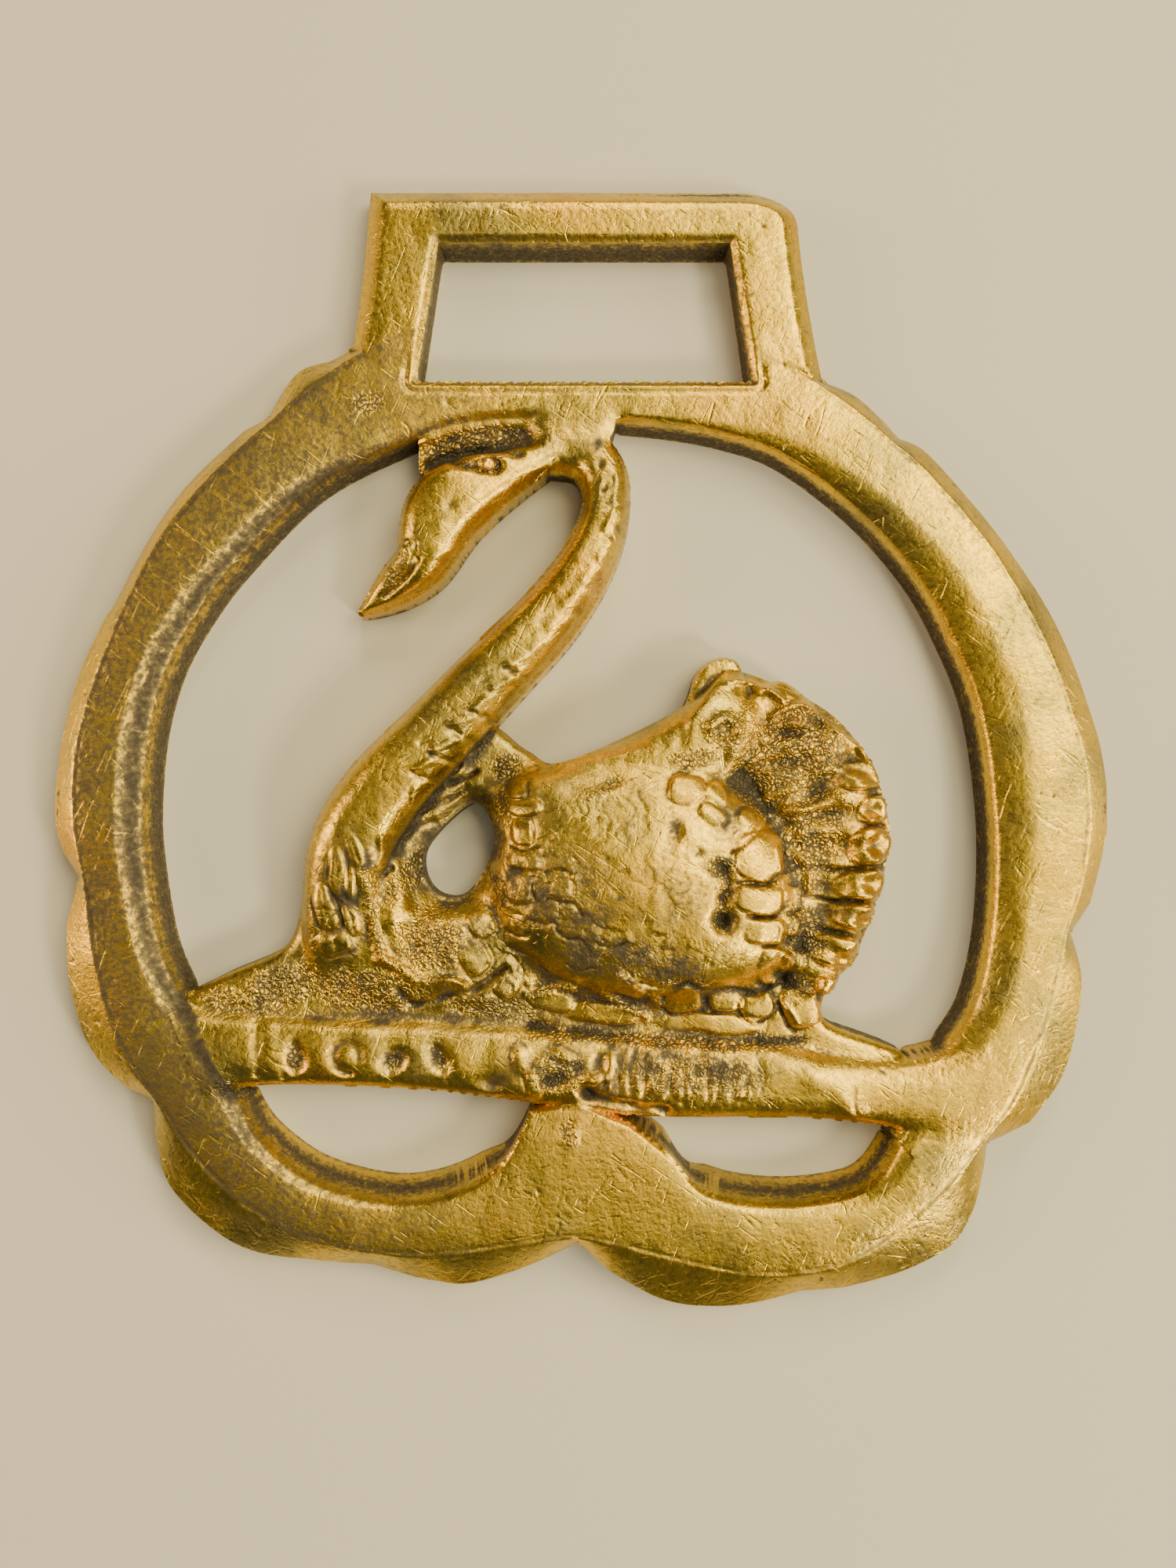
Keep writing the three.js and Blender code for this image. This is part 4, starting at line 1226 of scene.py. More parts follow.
# Patches of wear, each with its middle, length, width, turn, darkness and grain.
STAINS: dict[Wear, Rows] = {
    Wear.FAN: (
        (17.0, -0.5, 12.0, 8.0, 35, 0.15, 1.0), (18.6, -7.0, 6.0, 10.0, 0, 0.19, 0.9),
        (11.6, 1.4, 4.2, 4.0, 0, 0.11, 1.0), (9.0, -1.0, 5.0, 1.8, 10, 0.17, 1.0),
        (14.0, -3.6, 6.0, 3.4, -50, 0.3, 0.8), (18.0, -15.0, 4.0, 6.0, 20, 0.21, 0.8),
        (17.4, -19.0, 4.0, 2.2, -20, 0.25, 0.8),
    ),
    Wear.BREAST: (
        (-12.0, -15.6, 6.5, 6.0, 20, 0.07, 1.0), (-14.0, -10.4, 2.6, 7.0, -40, 0.08, 1.0),
        (-17.0, -19.6, 12.0, 4.2, -4, 0.12, 1.0), (-24.5, -19.6, 8.0, 4.4, 18, 0.1, 1.0),
        (-7.0, -21.2, 9.0, 2.2, -6, 0.21, 0.9),
    ),
    Wear.SHOULDER: (
        (-8.4, -15.0, 3.0, 5.0, 10, 0.46, 0.1), (-6.6, -11.4, 1.8, 4.6, 10, 0.45, 0.5),
        (-2.0, -10.8, 8.0, 12.0, 80, 0.36, 0.15), (3.4, -17.0, 13.0, 5.0, -8, 0.36, 0.25),
        (-6.0, -1.6, 3.2, 2.6, 30, 0.17, 1.0), (-6.3, -5.0, 1.8, 4.4, 0, 0.12, 1.0),
        (1.0, -16.4, 9.0, 3.5, -10, 0.24, 0.08), (1.6, -3.4, 4.4, 1.4, 25, 0.14, 0.9),
        (8.6, -18.8, 7.0, 0.9, -4, 0.17, 0.9),
    ),
    Wear.WATER: (
        (9.0, -26.4, 13.0, 4.4, -3, 0.34, 0.5), (-2.0, -26.4, 6.0, 4.0, 0, 0.2, 0.7),
        (6.0, -23.9, 26.0, 1.1, -3, 0.2, 1.0), (-29.0, -20.6, 4.6, 2.6, 0, 0.15, 0.9),
        (-28.0, -27.6, 3.6, 2.0, 0, 0.15, 0.9),
    ),
    Wear.FRAME: (
        (-17.4, 28.0, 3.0, 2.2, 0, 0.13, 0.7), (-0.8, -31.0, 2.0, 3.0, 10, 0.3, 0.6),
        (-24.0, -39.2, 17.0, 2.0, -14, 0.3, 0.2), (-39.0, -6.0, 1.6, 20.0, 4, 0.26, 0.0),
        (-38.0, -22.0, 1.6, 12.0, 8, 0.3, 0.0),
    ),
}


@dataclass
class SandMarks(Form):
    """What the mould, the file and years of polish left on the face, and painted shade in its hollows."""

    grain_depth: float = 0.06
    lump_depth: float = 0.10
    wave_depth: float = 0.035
    skin_depth: float = 0.010
    fine_mm: float = 0.17
    coarse_mm: float = 0.34
    blotch: float = 0.24
    patch: float = 0.10
    pit_count: int = 90
    feather_pitch: float = 1.25
    feather_gap: float = 0.12
    feather_rise: float = 0.09
    feathered: Rows = (
        (-4.0, -12.5, 16.0, 8.0, 75, 1.0), (4.0, -16.5, 16.0, 6.0, -14, 0.8),
        (-18.6, -13.5, 9.0, 4.5, 80, 0.8), (3.0, -5.5, 12.0, 4.0, 12, 0.45),
        (-11.5, -19.5, 14.0, 4.0, -4, 0.6), (6.5, -11.0, 9.0, 7.0, 0, 0.25))

    def work(self) -> None:
        """Roughen, dent and darken the sheet."""
        sheet = self.sheet
        for kind in Wear:
            for x, y, *patch in STAINS[kind]:
                sheet.stain((x, y), *patch)
        inside = sheet.cover > 0
        # The hollow map darkens recesses and creases found from the height map: partly the tarnish that
        # gathers there, partly painted shade for the shade that falls into them.
        filled = np.where(inside, sheet.height, 2.0)
        near = sheet.blurred(filled, 0.55) - filled
        wide = sheet.blurred(filled, 1.6) - filled
        hollow = smoothstep(0.02, 0.32, near) * 0.5 + smoothstep(0.12, 0.9, wide) * 0.4
        proud = smoothstep(0.05, 0.4, -near)
        hollow = np.where(inside & (sheet.cover > 0.25), hollow, 0)
        self.feather()
        grain = sheet.noise(self.fine_mm) * 0.7 + sheet.noise(self.coarse_mm) * 0.6
        rough = np.clip(sheet.grain_share * (1 - 0.8 * proud) + hollow * 0.45, 0, 1)
        lumps = self.lump_depth * sheet.noise(0.75) * sheet.grain_share
        sheet.height += self.grain_depth * grain * rough + lumps
        ring = np.hypot(sheet.x - sheet.sizes.middle[0], (sheet.y - sheet.sizes.middle[1]) * 1.08)
        swan = 1 - smoothstep(29.0, 33.0, ring)
        sheet.height += self.skin_depth * (sheet.noise(0.22) + sheet.noise(0.4)) * (0.35 + 0.65 * swan)
        wave = sheet.noise(1.5) * 0.7 + sheet.noise(0.7, 0.6) * 0.3
        sheet.height += self.wave_depth * wave * (1 - 0.6 * rough)
        patches = sheet.noise(1.1) * 0.5 + sheet.noise(0.35) * 0.5
        blotches = smoothstep(-0.1, 1.3, sheet.noise(1.3) * 0.7 + sheet.noise(0.45) * 0.5)
        blotches *= (0.2 + 0.8 * swan) * (0.3 + 0.7 * smoothstep(7.0, -4.0, sheet.y))
        # The hollows' tarnish and painted shade join the darkness map here.
        dark = np.maximum(sheet.tarnish_and_shade * (0.75 + 0.5 * blotches), hollow)
        dark = dark + self.patch * patches * (0.35 + rough) + self.blotch * blotches * (1 - rough)
        dark = dark * (1 - 0.55 * proud) - 0.16 * rough * smoothstep(0.2, 1.4, grain)
        sheet.tarnish_and_shade = np.clip(dark, 0, 1)
        sheet.grain_share = rough
        self.pit()

    def feather(self) -> None:
        """Break the wing and the breast into the worn edges of many small feathers."""
        sheet = self.sheet
        worn = np.zeros(sheet.x.shape)
        for x, y, length, width, turn, share in self.feathered:
            where, along, across = sheet.oval((x, y), length, width, turn, 1.4)
            worn[where] = np.maximum(worn[where], share * (1 - smoothstep(0.6, 1.1, np.hypot(along, across))))
        edge, lean = sheet.cells(self.feather_pitch, math.radians(-150), 1.5)
        shown = smoothstep(-0.2, 0.9, sheet.noise(1.0)) * worn
        line = bell(edge, self.feather_gap) * shown
        sheet.height += self.feather_rise * (lean * worn - line)
        sheet.tarnish_and_shade = np.maximum(sheet.tarnish_and_shade, 0.75 * line * sheet.patchy)

    def pit(self) -> None:
        """Scatter small blow holes over the face."""
        sheet = self.sheet
        spots = sheet.random.uniform(-1, 1, (self.pit_count, 4))
        for across, up, size, deep in spots:
            width = 0.28 + 0.16 * size
            place = (across * sheet.half[0], up * sheet.half[1])
            sheet.sink(place, width * 1.5, width, 90 * deep, 0.06 + 0.05 * abs(deep), 0.5)


@dataclass(frozen=True)
class CastBrass:
    """Yellow brass, sand cast, filed and hand polished, with brown tarnish and painted shade left in the
    hollows.

    The high places give long soft gold reflections broken by file marks, and the hollows stay dull and dark.
    """

    name: str = "satin_cast_yellow_brass"
    bright: str = "DEBA3E"
    warm: str = "DAAC3A"
    olive: str = "B09B4C"
    # The darker colours from here on tint the tarnish and the painted shade alike.
    film_and_shade: str = "A48F50"
    brown: str = "7F7048"
    umber: str = "5A4F39"
    soot_and_shade: str = "332C1F"
    polished: float = 0.27
    dull: float = 0.6
    brush_spacing_mm: float = 0.30
    scratch_spacing_mm: float = 1.6
    scratch_share: float = 0.035
    patch_mm: float = 9.0
    fleck_mm: float = 0.45
    granule_mm: float = 0.42
    jitter_mm: float = 0.5
    ring_mm: float = 38.0
    cleaned: float = 0.28
    gap_dark: float = 0.48
    rubbed: float = 0.2
    flecked: float = 0.29
    skin_mm: float = 0.13
    line_mm: float = 0.06
    grain_mm: float = 0.14

    def build(self) -> bpy.types.Material:
        """Build the node material.

        Returns:
            The material.
        """
        material = bpy.data.materials.new(self.name)
        material.use_nodes = True
        tree = material.node_tree
        tree.nodes.clear()
        place = add_node(tree, "TexCoord").outputs["Object"]
        # The darkness attribute holds the tarnish and the painted shade of the relief.
        tarnish_and_shade = add_node(tree, "Attribute", {"attribute_name": "tarnish_and_shade"}).outputs["Fac"]
        grain = add_node(tree, "Attribute", {"attribute_name": "grain"}).outputs["Fac"]
        brush, cross = self.file_marks(tree, place)
        scratch = self.scratches(tree, place)
        patch = add_node(tree, "TexNoise",
                         {"Scale": 1 / (self.patch_mm * METRE), "Detail": 4.0, "Roughness": 0.6},
                         {"Vector": place}).outputs["Fac"]
        fleck = add_node(tree, "TexNoise",
                         {"Scale": 1 / (self.fleck_mm * METRE), "Detail": 4.0, "Roughness": 0.65},
                         {"Vector": place}).outputs["Fac"]
        granules = self.granules(tree, place)
        depth = self.tarnish_and_shade_depth(tree, tarnish_and_shade, grain, granules, fleck, scratch)

        tone = add_node(tree, "ValToRGB", None, {"Fac": patch})
        self.ramp(tone, ((0.36, self.olive), (0.5, self.bright), (0.68, self.warm)))
        # Darkness ramp: its browns colour the tarnish and the painted shade of the mesh alike.
        shade = add_node(tree, "ValToRGB", None, {"Fac": depth})
        self.ramp(shade, ((0.1, self.film_and_shade), (0.4, self.brown), (0.65, self.umber), (0.95, self.soot_and_shade)))
        cover = add_node(tree, "MapRange", {"From Min": 0.06, "From Max": 0.5}, {"Value": depth})
        colour = add_node(tree, "Mix", {"data_type": "RGBA"},
                          {"Factor": cover.outputs[0], "A": tone.outputs["Color"],
                           "B": shade.outputs["Color"]})
        rough = add_node(tree, "MapRange",
                         {"From Min": 0.0, "From Max": 0.8, "To Min": self.polished, "To Max": self.dull},
                         {"Value": depth})
        streak = add_node(tree, "Math", {"operation": "MULTIPLY_ADD", 1: 0.16},
                          {0: brush, 2: rough.outputs[0]})
        even = add_node(tree, "Math", {"operation": "SUBTRACT", 1: 0.08}, {0: streak.outputs[0]})
        bare = add_node(tree, "MapRange",
                        {"From Min": 0.35, "From Max": 0.9, "To Min": 1.0, "To Max": 0.3}, {"Value": depth})
        sanded = add_node(tree, "Math", {"operation": "MULTIPLY"}, {0: granules, 1: grain})

        normal = None
        for height, strength, depth_mm, sunk in (
                (fleck, 0.5, self.skin_mm, False), (brush, 0.2, self.line_mm, False),
                (cross, 0.10, self.line_mm, False), (scratch, 0.4, self.line_mm, True),
                (sanded.outputs[0], 0.7, self.grain_mm, False)):
            links = {"Height": height} if normal is None else {"Height": height, "Normal": normal}
            normal = add_node(tree, "Bump",
                              {"Strength": strength, "Distance": depth_mm * METRE, "invert": sunk},
                              links).outputs["Normal"]
        shader = add_node(tree, "BsdfPrincipled", None,
                          {"Base Color": colour.outputs["Result"], "Metallic": bare.outputs[0],
                           "Roughness": even.outputs[0], "Normal": normal})
        add_node(tree, "OutputMaterial", None, {"Surface": shader.outputs["BSDF"]})
        return material

    def file_marks(self, tree: bpy.types.NodeTree, place: Any) -> tuple[Any, Any]:
        """Draw the fine file marks, which run across the ring, and a weaker set across those.

        Args:
            tree: node tree of the material.
            place: output that gives the place on the brass.

        Returns:
            The outputs of both sets.
        """
        radial = add_node(tree, "VectorMath", {"operation": "NORMALIZE"}, {0: place})
        arc = add_node(tree, "VectorMath", {"operation": "SCALE", "Scale": self.ring_mm * METRE},
                       {0: radial.outputs["Vector"]})
        along = add_node(tree, "VectorMath", {"operation": "SCALE", "Scale": 0.10}, {0: place})
        swept = add_node(tree, "VectorMath", {"operation": "ADD"},
                         {0: arc.outputs["Vector"], 1: along.outputs["Vector"]})
        brush = add_node(tree, "TexNoise",
                         {"Scale": 1 / (self.brush_spacing_mm * METRE), "Detail": 3.0, "Roughness": 0.6},
                         {"Vector": swept.outputs["Vector"]})
        cross = add_node(tree, "TexNoise",
                         {"Scale": 1 / (self.brush_spacing_mm * 1.3 * METRE), "Detail": 2.0},
                         {"Vector": self.stretched(tree, place, 0.7, 0.06)})
        return brush.outputs["Fac"], cross.outputs["Fac"]

    def granules(self, tree: bpy.types.NodeTree, place: Any) -> Any:
        """Draw the rounded grains that the sand left, nought between them and one on top.

        Args:
            tree: node tree of the material.
            place: output that gives the place on the brass.

        Returns:
            The output of the grains.
        """
        jitter = add_node(tree, "TexNoise", {"Scale": 1 / (self.jitter_mm * METRE), "Detail": 2.0},
                          {"Vector": place})
        pushed = add_node(tree, "VectorMath",
                          {"operation": "MULTIPLY_ADD", 1: (self.jitter_mm * METRE,) * 3},
                          {0: jitter.outputs["Color"], 2: place})
        edges = add_node(tree, "TexVoronoi",
                         {"feature": "DISTANCE_TO_EDGE", "Scale": 1 / (self.granule_mm * METRE)},
                         {"Vector": pushed.outputs["Vector"]})
        return add_node(tree, "MapRange",
                        {"interpolation_type": "SMOOTHSTEP", "From Min": 0.0, "From Max": 0.34},
                        {"Value": edges.outputs["Distance"]}).outputs[0]

    def tarnish_and_shade_depth(self, tree: bpy.types.NodeTree, tarnish_and_shade: Any, grain: Any, granules: Any, fleck: Any,
                      scratch: Any) -> Any:
        """Add up how dark the metal is: tarnish with painted shade, dirt between the grains, flecks, and
        scratches rubbed clean.

        Args:
            tree: node tree of the material.
            tarnish_and_shade: output of the mesh's darkness, tarnish with painted shade.
            grain: output of the mesh's sand grain.
            granules: output of the grains.
            fleck: output of the fine flecks.
            scratch: output that is one on a scratch.

        Returns:
            The output, from nought on bare metal to one on soot.
        """
        gaps = add_node(tree, "MapRange",
                        {"From Min": 0.0, "From Max": 0.5, "To Min": self.gap_dark, "To Max": -0.08},
                        {"Value": granules})
        grimed = add_node(tree, "Math", {"operation": "MULTIPLY"}, {0: gaps.outputs[0], 1: grain})
        worn = add_node(tree, "MapRange",
                        {"From Min": 0.32, "From Max": 0.68, "To Min": -self.rubbed, "To Max": self.flecked},
                        {"Value": fleck})
        mottled = add_node(tree, "Math", {"operation": "ADD"}, {0: grimed.outputs[0], 1: worn.outputs[0]})
        cleaned = add_node(tree, "Math", {"operation": "MULTIPLY_ADD", 1: -self.cleaned},
                           {0: scratch, 2: mottled.outputs[0]})
        return add_node(tree, "Math", {"operation": "ADD", "use_clamp": True},
                        {0: tarnish_and_shade, 1: cleaned.outputs[0]}).outputs[0]

    def scratches(self, tree: bpy.types.NodeTree, place: Any) -> Any:
        """Draw thin crossing scratches.

        Args:
            tree: node tree of the material.
            place: output that gives the place on the brass.

        Returns:
            The output that is one on a scratch.
        """
        lines = None
        for turn, stretch, spot in ((0.4, 0.05, 2.0), (1.2, 0.06, 1.5), (2.2, 0.05, 1.8)):
            cells = add_node(tree, "TexVoronoi",
                             {"feature": "DISTANCE_TO_EDGE", "Scale": 1 / (self.scratch_spacing_mm * METRE)},
                             {"Vector": self.stretched(tree, place, turn, stretch)})
            thin = add_node(tree, "MapRange",
                            {"From Min": 0.0, "From Max": self.scratch_share, "To Min": 1.0, "To Max": 0.0},
                            {"Value": cells.outputs["Distance"]})
            moved = add_node(tree, "Mapping", {"Location": (turn * 0.1, turn * 0.2, 0.0)},
                             {"Vector": place})
            spots = add_node(tree, "TexNoise", {"Scale": 1 / (spot * METRE), "Detail": 2.0},
                             {"Vector": moved.outputs["Vector"]})
            shown = add_node(tree, "MapRange", {"From Min": 0.54, "From Max": 0.62},
                             {"Value": spots.outputs["Fac"]})
            marks = add_node(tree, "Math", {"operation": "MULTIPLY"},
                             {0: thin.outputs[0], 1: shown.outputs[0]}).outputs[0]
            if lines is not None:
                marks = add_node(tree, "Math", {"operation": "MAXIMUM"}, {0: lines, 1: marks}).outputs[0]
            lines = marks
        return lines

    @staticmethod
    def stretched(tree: bpy.types.NodeTree, place: Any, turn: float, share: float) -> Any:
        """Turn the place and shorten it along one way, so that a pattern read there runs in long streaks.

        Args:
            tree: node tree of the material.
            place: socket with the place.
            turn: turn of the streaks.
            share: share of the length that is kept.

        Returns:
            Socket with the new place.
        """
        turned = add_node(tree, "VectorRotate", {"rotation_type": "Z_AXIS", "Angle": turn},
                          {"Vector": place})
        return add_node(tree, "Mapping", {"Scale": (1.0, share, 1.0)},
                        {"Vector": turned.outputs["Vector"]}).outputs["Vector"]

    @staticmethod
    def ramp(node: bpy.types.Node, stops: Sequence[tuple[float, str]]) -> None:
        """Set a colour ramp's stops.

        Args:
            node: colour ramp node.
            stops: place and colour of each stop.
        """
        elements = node.color_ramp.elements
        while len(elements) < len(stops):
            elements.new(0.5)
        for element, (position, colour) in zip(elements, stops):
            element.position = position
            element.color = linear(colour)


@dataclass
class Casting:
    """The whole horse brass, worked from one grid."""

    sizes: Sizes = field(default_factory=Sizes)
    name: str = "horse_brass_relief"
    triangles: int = 186000
    inner_draft: float = 0.35
    crescent_draft: float = 1.1
    outer_draft: float = 0.05
    ring_inside: float = 26.0
    wall_rows: Line = ((0.55, 0.4), (0.35, 0.5), (0.0, 0.1))
    rim_snap: float = 0.2
    rim_step: float = 0.3
    rim_merge_mm: float = 0.04
    sharp_degrees: float = 38
    wall_dark: float = 0.68
    wall_grain: float = 0.4
    back_dark: float = 0.35
    outside: Array | None = None
    steepness: tuple[Array, Array] | None = None

    def relief(self) -> Sheet:
        """Work the height map from every form.

        Returns:
            Height map of the whole casting.
        """
        low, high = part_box("horse_brass")
        half_width = (high[0] - low[0]) / 2 / METRE
        half_height = (high[1] - low[1]) / 2 / METRE
        sheet = Sheet(self.sizes, half_width, half_height)
        for form in (FrameRing, Hanger, WaterBar, Swan, SandMarks):
            form(sheet).work()
        sheet.ceiling = (high[2] - low[2]) / METRE
        sheet.height = np.clip(sheet.height, 0.6, sheet.ceiling)
        return sheet

    def build(self) -> bpy.types.Object:
        """Build the relief mesh.

        Returns:
            The finished object, with its place in its mesh.
        """
        sheet = self.relief()
        LOG.info("height map worked: %d by %d", sheet.columns, sheet.rows)
        piece = self.lay_grid(sheet)
        self.trim(piece)
        self.draw_down(piece, sheet)
        self.thin(piece)
        self.mark(piece, sheet)
        LOG.info("relief has %d faces", len(piece.data.polygons))
        return piece

    def snapped(self, sheet: Sheet, kept: Array) -> tuple[Array, Array, Array]:
        """Slide the grid points along the rim onto the outline.

        Args:
            sheet: the height map.
            kept: which points lie inside the outline.

        Returns:
            The places across and up, and the heights there.
        """
        slope_y, slope_x = np.gradient(sheet.cover, sheet.sizes.pitch)
        steep = np.maximum(slope_x ** 2 + slope_y ** 2, 0.09)
        snap = np.clip(sheet.cover / steep, -self.rim_snap, self.rim_snap)
        corner = kept[:-1, :-1] & kept[1:, :-1] & kept[:-1, 1:] & kept[1:, 1:]
        count = np.zeros(kept.shape, dtype=int)
        for rows in (slice(0, -1), slice(1, None)):
            for columns in (slice(0, -1), slice(1, None)):
                count[rows, columns] += corner
        rim = (count > 0) & (count < 4)
        x = np.clip(sheet.x - np.where(rim, snap * slope_x, 0), -sheet.half[0], sheet.half[0])
        y = np.clip(sheet.y - np.where(rim, snap * slope_y, 0), -sheet.half[1], sheet.half[1])
        moved = self.sample(sheet, sheet.height, x, y)
        near = rim & (np.abs(moved - sheet.height) < self.rim_step)
        return x, y, np.where(near, moved, sheet.height)

    def lay_grid(self, sheet: Sheet) -> bpy.types.Object:
        """Add a flat grid over the back and lift it to the height map.

        Args:
            sheet: height map of the casting.

        Returns:
            Object with the lifted grid.
        """
        bpy.ops.object.select_all(action="DESELECT")
        bpy.ops.mesh.primitive_grid_add(x_subdivisions=sheet.columns - 1, y_subdivisions=sheet.rows - 1,
                                        size=2.0, location=(0, 0, 0))
        piece = bpy.context.object
        piece.name = piece.data.name = self.name
        places = places_of(piece.data)
        column = np.rint((places[:, 0] + 1) / 2 * (sheet.columns - 1)).astype(int)
        row = np.rint((places[:, 1] + 1) / 2 * (sheet.rows - 1)).astype(int)
        kept = sheet.cover > 0
        for axis, values in enumerate(self.snapped(sheet, kept)):
            places[:, axis] = values[row, column] * METRE
        piece.data.vertices.foreach_set("co", places.ravel())
        self.outside = ~kept[row, column]
        smooth = sheet.blurred(np.clip(sheet.cover, -1.5, 1.5), 0.22)
        slope_y, slope_x = np.gradient(smooth, sheet.sizes.pitch)
        self.steepness = (slope_x, slope_y)
        return piece

    def trim(self, piece: bpy.types.Object) -> None:
        """Delete the grid outside the outline and in the openings.

        Args:
            piece: the relief.
        """
        data = piece.data
        corners = np.zeros(len(data.polygons) * 4, dtype=np.int32)
        data.loops.foreach_get("vertex_index", corners)
        marked = self.outside[corners.reshape(-1, 4)].any(axis=1)
        bpy.ops.object.mode_set(mode="EDIT")
        bpy.ops.mesh.select_mode(type="FACE")
        bpy.ops.mesh.select_all(action="DESELECT")
        bpy.ops.object.mode_set(mode="OBJECT")
        data.polygons.foreach_set("select", marked)
        bpy.ops.object.mode_set(mode="EDIT")
        bpy.ops.mesh.delete(type="FACE")
        bpy.ops.mesh.select_mode(type="VERT")
        bpy.ops.mesh.select_all(action="SELECT")
        bpy.ops.mesh.delete_loose(use_verts=True, use_edges=True, use_faces=False)
        bpy.ops.mesh.select_all(action="SELECT")
        bpy.ops.mesh.remove_doubles(threshold=self.rim_merge_mm * METRE)
        bpy.ops.object.mode_set(mode="OBJECT")

    def drop_rim(self, piece: bpy.types.Object, sheet: Sheet, share: float, spread: float) -> None:
        """Pull the rim that has just been extruded down, and out by its draft.

        Args:
            piece: the relief.
            sheet: its height map.
            share: how much of the height is kept.
            spread: how much of the draft is given.
        """
        bpy.ops.object.mode_set(mode="OBJECT")
        data = piece.data
        chosen = np.zeros(len(data.vertices), dtype=bool)
        data.vertices.foreach_get("select", chosen)
        places = places_of(data)
        x, y = places[chosen, 0] / METRE, places[chosen, 1] / METRE
        out_x, out_y = (self.sample(sheet, slope, x, y) for slope in self.steepness)
        length = np.maximum(np.hypot(out_x, out_y), 1e-6)
        dx, dy = x - self.sizes.middle[0], y - self.sizes.middle[1]
        reach = np.maximum(np.hypot(dx, dy), 1e-6)
        facing_in = smoothstep(0.3, 0.8, (dx * out_x + dy * out_y) / length / reach)
        low_down = smoothstep(0.6, 0.95, -dy / reach)
        draft = self.inner_draft + (self.crescent_draft - self.inner_draft) * low_down
        draft = self.outer_draft + draft * facing_in * (reach > self.ring_inside)
        for axis, old, out in ((0, x, out_x), (1, y, out_y)):
            moved = np.clip(old - out / length * draft * spread, -sheet.half[axis], sheet.half[axis])
            places[chosen, axis] = moved * METRE
        places[chosen, 2] *= share
        data.vertices.foreach_set("co", places.ravel())
        data.update()
        bpy.ops.object.mode_set(mode="EDIT")

    def draw_down(self, piece: bpy.types.Object, sheet: Sheet) -> None:
        """Lay a flat copy under the face as the back, and extrude the rim down to it.

        Args:
            piece: the relief.
            sheet: height map of the casting.
        """
        bpy.ops.object.mode_set(mode="EDIT")
        bpy.ops.mesh.select_mode(type="VERT")
        bpy.ops.mesh.select_all(action="SELECT")
        bpy.ops.mesh.duplicate()
        bpy.ops.mesh.flip_normals()
        bpy.ops.mesh.hide(unselected=True)
        self.select_rim()
        for share, spread in self.wall_rows:
            self.drop_rim(piece, sheet, share, spread)
        bpy.ops.mesh.select_all(action="SELECT")
        self.drop_rim(piece, sheet, 0.0, 0.0)
        bpy.ops.mesh.reveal(select=False)
        self.select_rim()
        self.keep_above(piece)
        for share, spread in self.wall_rows:
            bpy.ops.mesh.extrude_region_move()
            self.drop_rim(piece, sheet, share, spread)
        bpy.ops.mesh.select_all(action="SELECT")
        bpy.ops.mesh.remove_doubles(threshold=0.000002)
        bpy.ops.mesh.quads_convert_to_tris()
        bpy.ops.mesh.normals_make_consistent(inside=False)
        bpy.ops.object.mode_set(mode="OBJECT")

    @staticmethod
    def select_rim() -> None:
        """Select the open edges of what is shown."""
        bpy.ops.mesh.select_mode(type="EDGE")
        bpy.ops.mesh.select_all(action="DESELECT")
        bpy.ops.mesh.select_non_manifold(extend=False, use_wire=False, use_boundary=True,
                                         use_multi_face=False, use_non_contiguous=False, use_verts=False)

    @staticmethod
    def keep_above(piece: bpy.types.Object) -> None:
        """Leave only those selected edges selected that lie over the back.

        Args:
            piece: the relief.
        """
        grid = bmesh.from_edit_mesh(piece.data)
        for edge in grid.edges:
            if edge.select and edge.verts[0].co.z < 0.0001:
                edge.select_set(False)
        bmesh.update_edit_mesh(piece.data)

    def thin(self, piece: bpy.types.Object) -> None:
        """Thin the mesh where it is flat, and smooth its shading.

        Args:
            piece: the relief.
        """
        modifier = piece.modifiers.new("thin", "DECIMATE")
        modifier.ratio = min(self.triangles / max(len(piece.data.polygons), 1), 1.0)
        bpy.context.view_layer.objects.active = piece
        bpy.ops.object.modifier_apply(modifier=modifier.name)
        bpy.ops.object.shade_smooth_by_angle(angle=math.radians(self.sharp_degrees))

    @staticmethod
    def sample(sheet: Sheet, values: Array, x: Array, y: Array) -> Array:
        """Read a map between its grid points.

        Args:
            sheet: height map of the casting.
            values: map to read.
            x: places across, in millimetres.
            y: places up, in millimetres.

        Returns:
            Values at these places.
        """
        wide, high = sheet.half
        column = np.clip((x + wide) / (2 * wide) * (sheet.columns - 1), 0, sheet.columns - 1.001)
        row = np.clip((y + high) / (2 * high) * (sheet.rows - 1), 0, sheet.rows - 1.001)
        left, low = column.astype(int), row.astype(int)
        across, up = column - left, row - low
        lower = values[low, left] * (1 - across) + values[low, left + 1] * across
        upper = values[low + 1, left] * (1 - across) + values[low + 1, left + 1] * across
        return lower * (1 - up) + upper * up

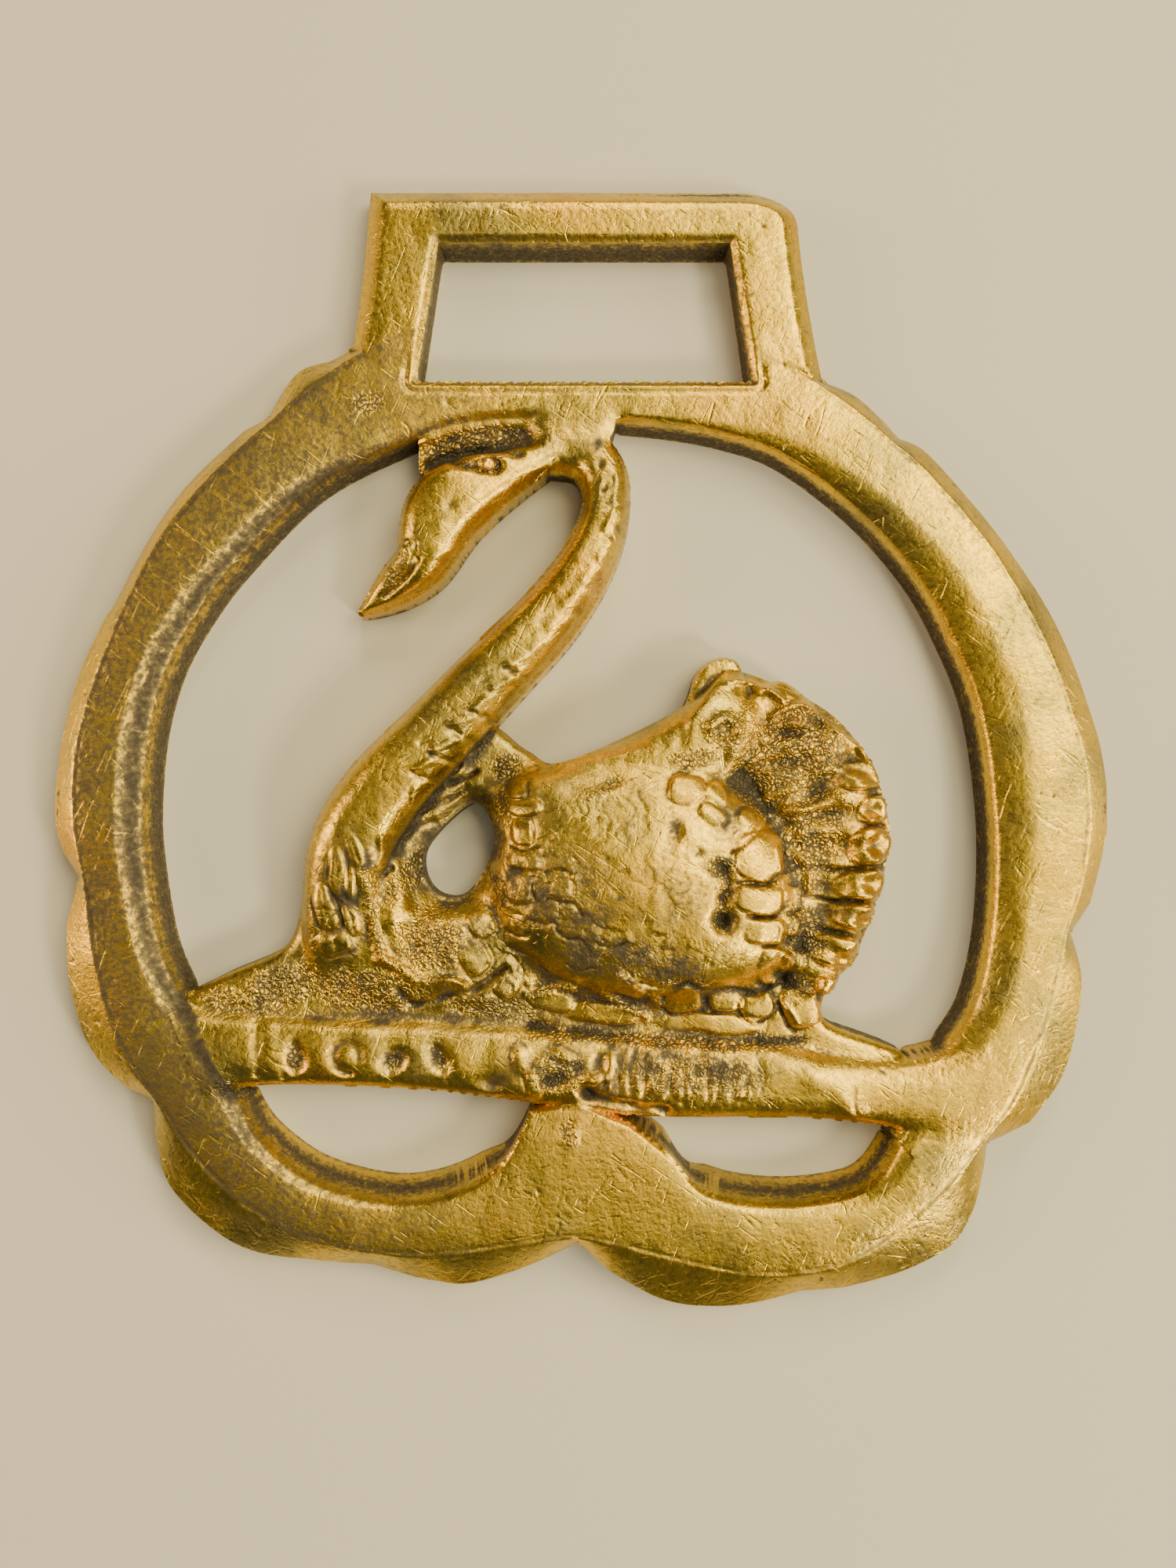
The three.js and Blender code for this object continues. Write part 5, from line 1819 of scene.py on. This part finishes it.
    def mark(self, piece: bpy.types.Object, sheet: Sheet) -> None:
        """Write the darkness, tarnish with painted shade, and the grain onto the finished mesh.

        Args:
            piece: the relief.
            sheet: height map of the casting.
        """
        data = piece.data
        places = places_of(data)
        room = np.array([*sheet.half, sheet.ceiling]) * METRE - 1e-6
        places = np.clip(places, [-room[0], -room[1], 0], room)
        data.vertices.foreach_set("co", places.ravel())
        x, y, z = (places[:, k] / METRE for k in range(3))
        face = self.sample(sheet, sheet.height, x, y)
        low = smoothstep(0.15, 0.9, face - z)
        tarnish_and_shade = self.sample(sheet, sheet.tarnish_and_shade, x, y)
        grain = self.sample(sheet, sheet.grain_share, x, y)
        tarnish_and_shade = np.maximum(tarnish_and_shade * (1 - low), low * self.wall_dark)
        tarnish_and_shade = np.where(z < 0.02, self.back_dark, tarnish_and_shade)
        grain = np.maximum(grain, low * self.wall_grain)
        for name, values in (("tarnish_and_shade", tarnish_and_shade), ("grain", grain)):
            layer = data.attributes.new(name, "FLOAT", "POINT")
            layer.data.foreach_set("value", values.astype(np.float32))


@dataclass(frozen=True)
class StudioFloor:
    """Plain pale table, matt."""

    name: str = "pale_matt_table"
    colour: str = "C9C6C0"
    size: float = 3.0
    roughness: float = 0.85
    gap: float = 0.00002

    def build(self) -> bpy.types.Object:
        """Build the table top.

        Returns:
            Object of the table top.
        """
        material = bpy.data.materials.new(self.name)
        material.use_nodes = True
        shader = material.node_tree.nodes["Principled BSDF"]
        shader.inputs["Base Color"].default_value = linear(self.colour)
        shader.inputs["Roughness"].default_value = self.roughness
        bpy.ops.object.select_all(action="DESELECT")
        bpy.ops.mesh.primitive_plane_add(size=self.size, location=(0, 0, -self.gap))
        floor = bpy.context.object
        floor.name = "studio_floor"
        floor.data.materials.append(material)
        return floor


@dataclass(frozen=True)
class Lamp:
    """One soft box: where it stands, what it looks at, its size, power and tint."""

    name: str
    place: tuple[float, float, float]
    size: float
    power: float
    tint: str


LAMPS = (
    Lamp("overhead_box", (0.52, 0.34, 0.85), 0.64, 11.8, "FFEFB4"),
    Lamp("middle_box", (0.10, -0.10, 0.95), 0.34, 1.15, "FFEFBC"),
    Lamp("low_right_box", (0.42, -0.34, 0.42), 0.12, 3.0, "FFEDC0"),
    Lamp("right_edge_box", (0.58, -0.04, 0.22), 0.20, 2.2, "FFEBB0"),
    Lamp("low_left_box", (-0.52, 0.02, 0.18), 0.18, 1.7, "FFD28E"),
    Lamp("left_fill_box", (-0.62, 0.12, 0.46), 0.26, 0.5, "FFEDC0"),
    Lamp("top_box", (0.06, 0.62, 0.44), 0.20, 2.2, "FFE8B4"),
)


@dataclass(frozen=True)
class StudioLight:
    """Plain soft studio light."""

    lamps: tuple[Lamp, ...] = LAMPS
    sky: str = "848A90"
    sky_strength: float = 0.3

    def build(self) -> None:
        """Build the lamps and the even surroundings."""
        for lamp in self.lamps:
            light = bpy.data.lights.new(lamp.name, "AREA")
            light.shape = "SQUARE"
            light.size = lamp.size
            light.energy = lamp.power
            light.color = linear(lamp.tint)[:3]
            holder = bpy.data.objects.new(lamp.name, light)
            holder.location = lamp.place
            holder.rotation_euler = (-Vector(lamp.place)).to_track_quat("-Z", "Y").to_euler()
            bpy.context.collection.objects.link(holder)
        world = bpy.data.worlds.new("studio_world")
        world.use_nodes = True
        background = world.node_tree.nodes["Background"]
        background.inputs["Color"].default_value = linear(self.sky)
        background.inputs["Strength"].default_value = self.sky_strength
        bpy.context.scene.world = world


@dataclass(frozen=True)
class Camera:
    """Camera straight over the brass, as the photograph was taken."""

    image_width: int = 1500
    image_height: int = 2000
    middle_x: float = 740.5
    middle_y: float = 953.0
    pixels_per_mm: float = 15.8
    distance: float = 110.0
    face_height: float = 4.4
    sensor: float = 24.0

    def build(self) -> bpy.types.Object:
        """Build the camera and make it the scene's.

        Returns:
            Object of the camera.
        """
        data = bpy.data.cameras.new("photo_camera")
        data.sensor_fit = "VERTICAL"
        data.sensor_height = self.sensor
        data.sensor_width = self.sensor * self.image_width / self.image_height
        data.lens = self.sensor * self.pixels_per_mm * self.distance / self.image_height
        data.clip_start = 0.005
        camera = bpy.data.objects.new("photo_camera", data)
        across = (self.image_width / 2 - self.middle_x) / self.pixels_per_mm
        up = (self.middle_y - self.image_height / 2) / self.pixels_per_mm
        camera.location = (across * METRE, up * METRE, (self.distance + self.face_height) * METRE)
        bpy.context.collection.objects.link(camera)
        bpy.context.scene.camera = camera
        return camera


def main() -> None:
    """Build the camera, the studio and the brass, and say what moves with what."""
    logging.basicConfig(level=logging.INFO, format="%(name)s: %(message)s")
    Camera().build()
    StudioLight().build()
    floor = StudioFloor().build()
    LOG.info("studio built")
    brass = Casting().build()
    brass.data.materials.append(CastBrass().build())
    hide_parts("horse_brass")
    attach(brass, "root")
    LOG.info("brass dressed")


if __name__ == "__main__":
    main()
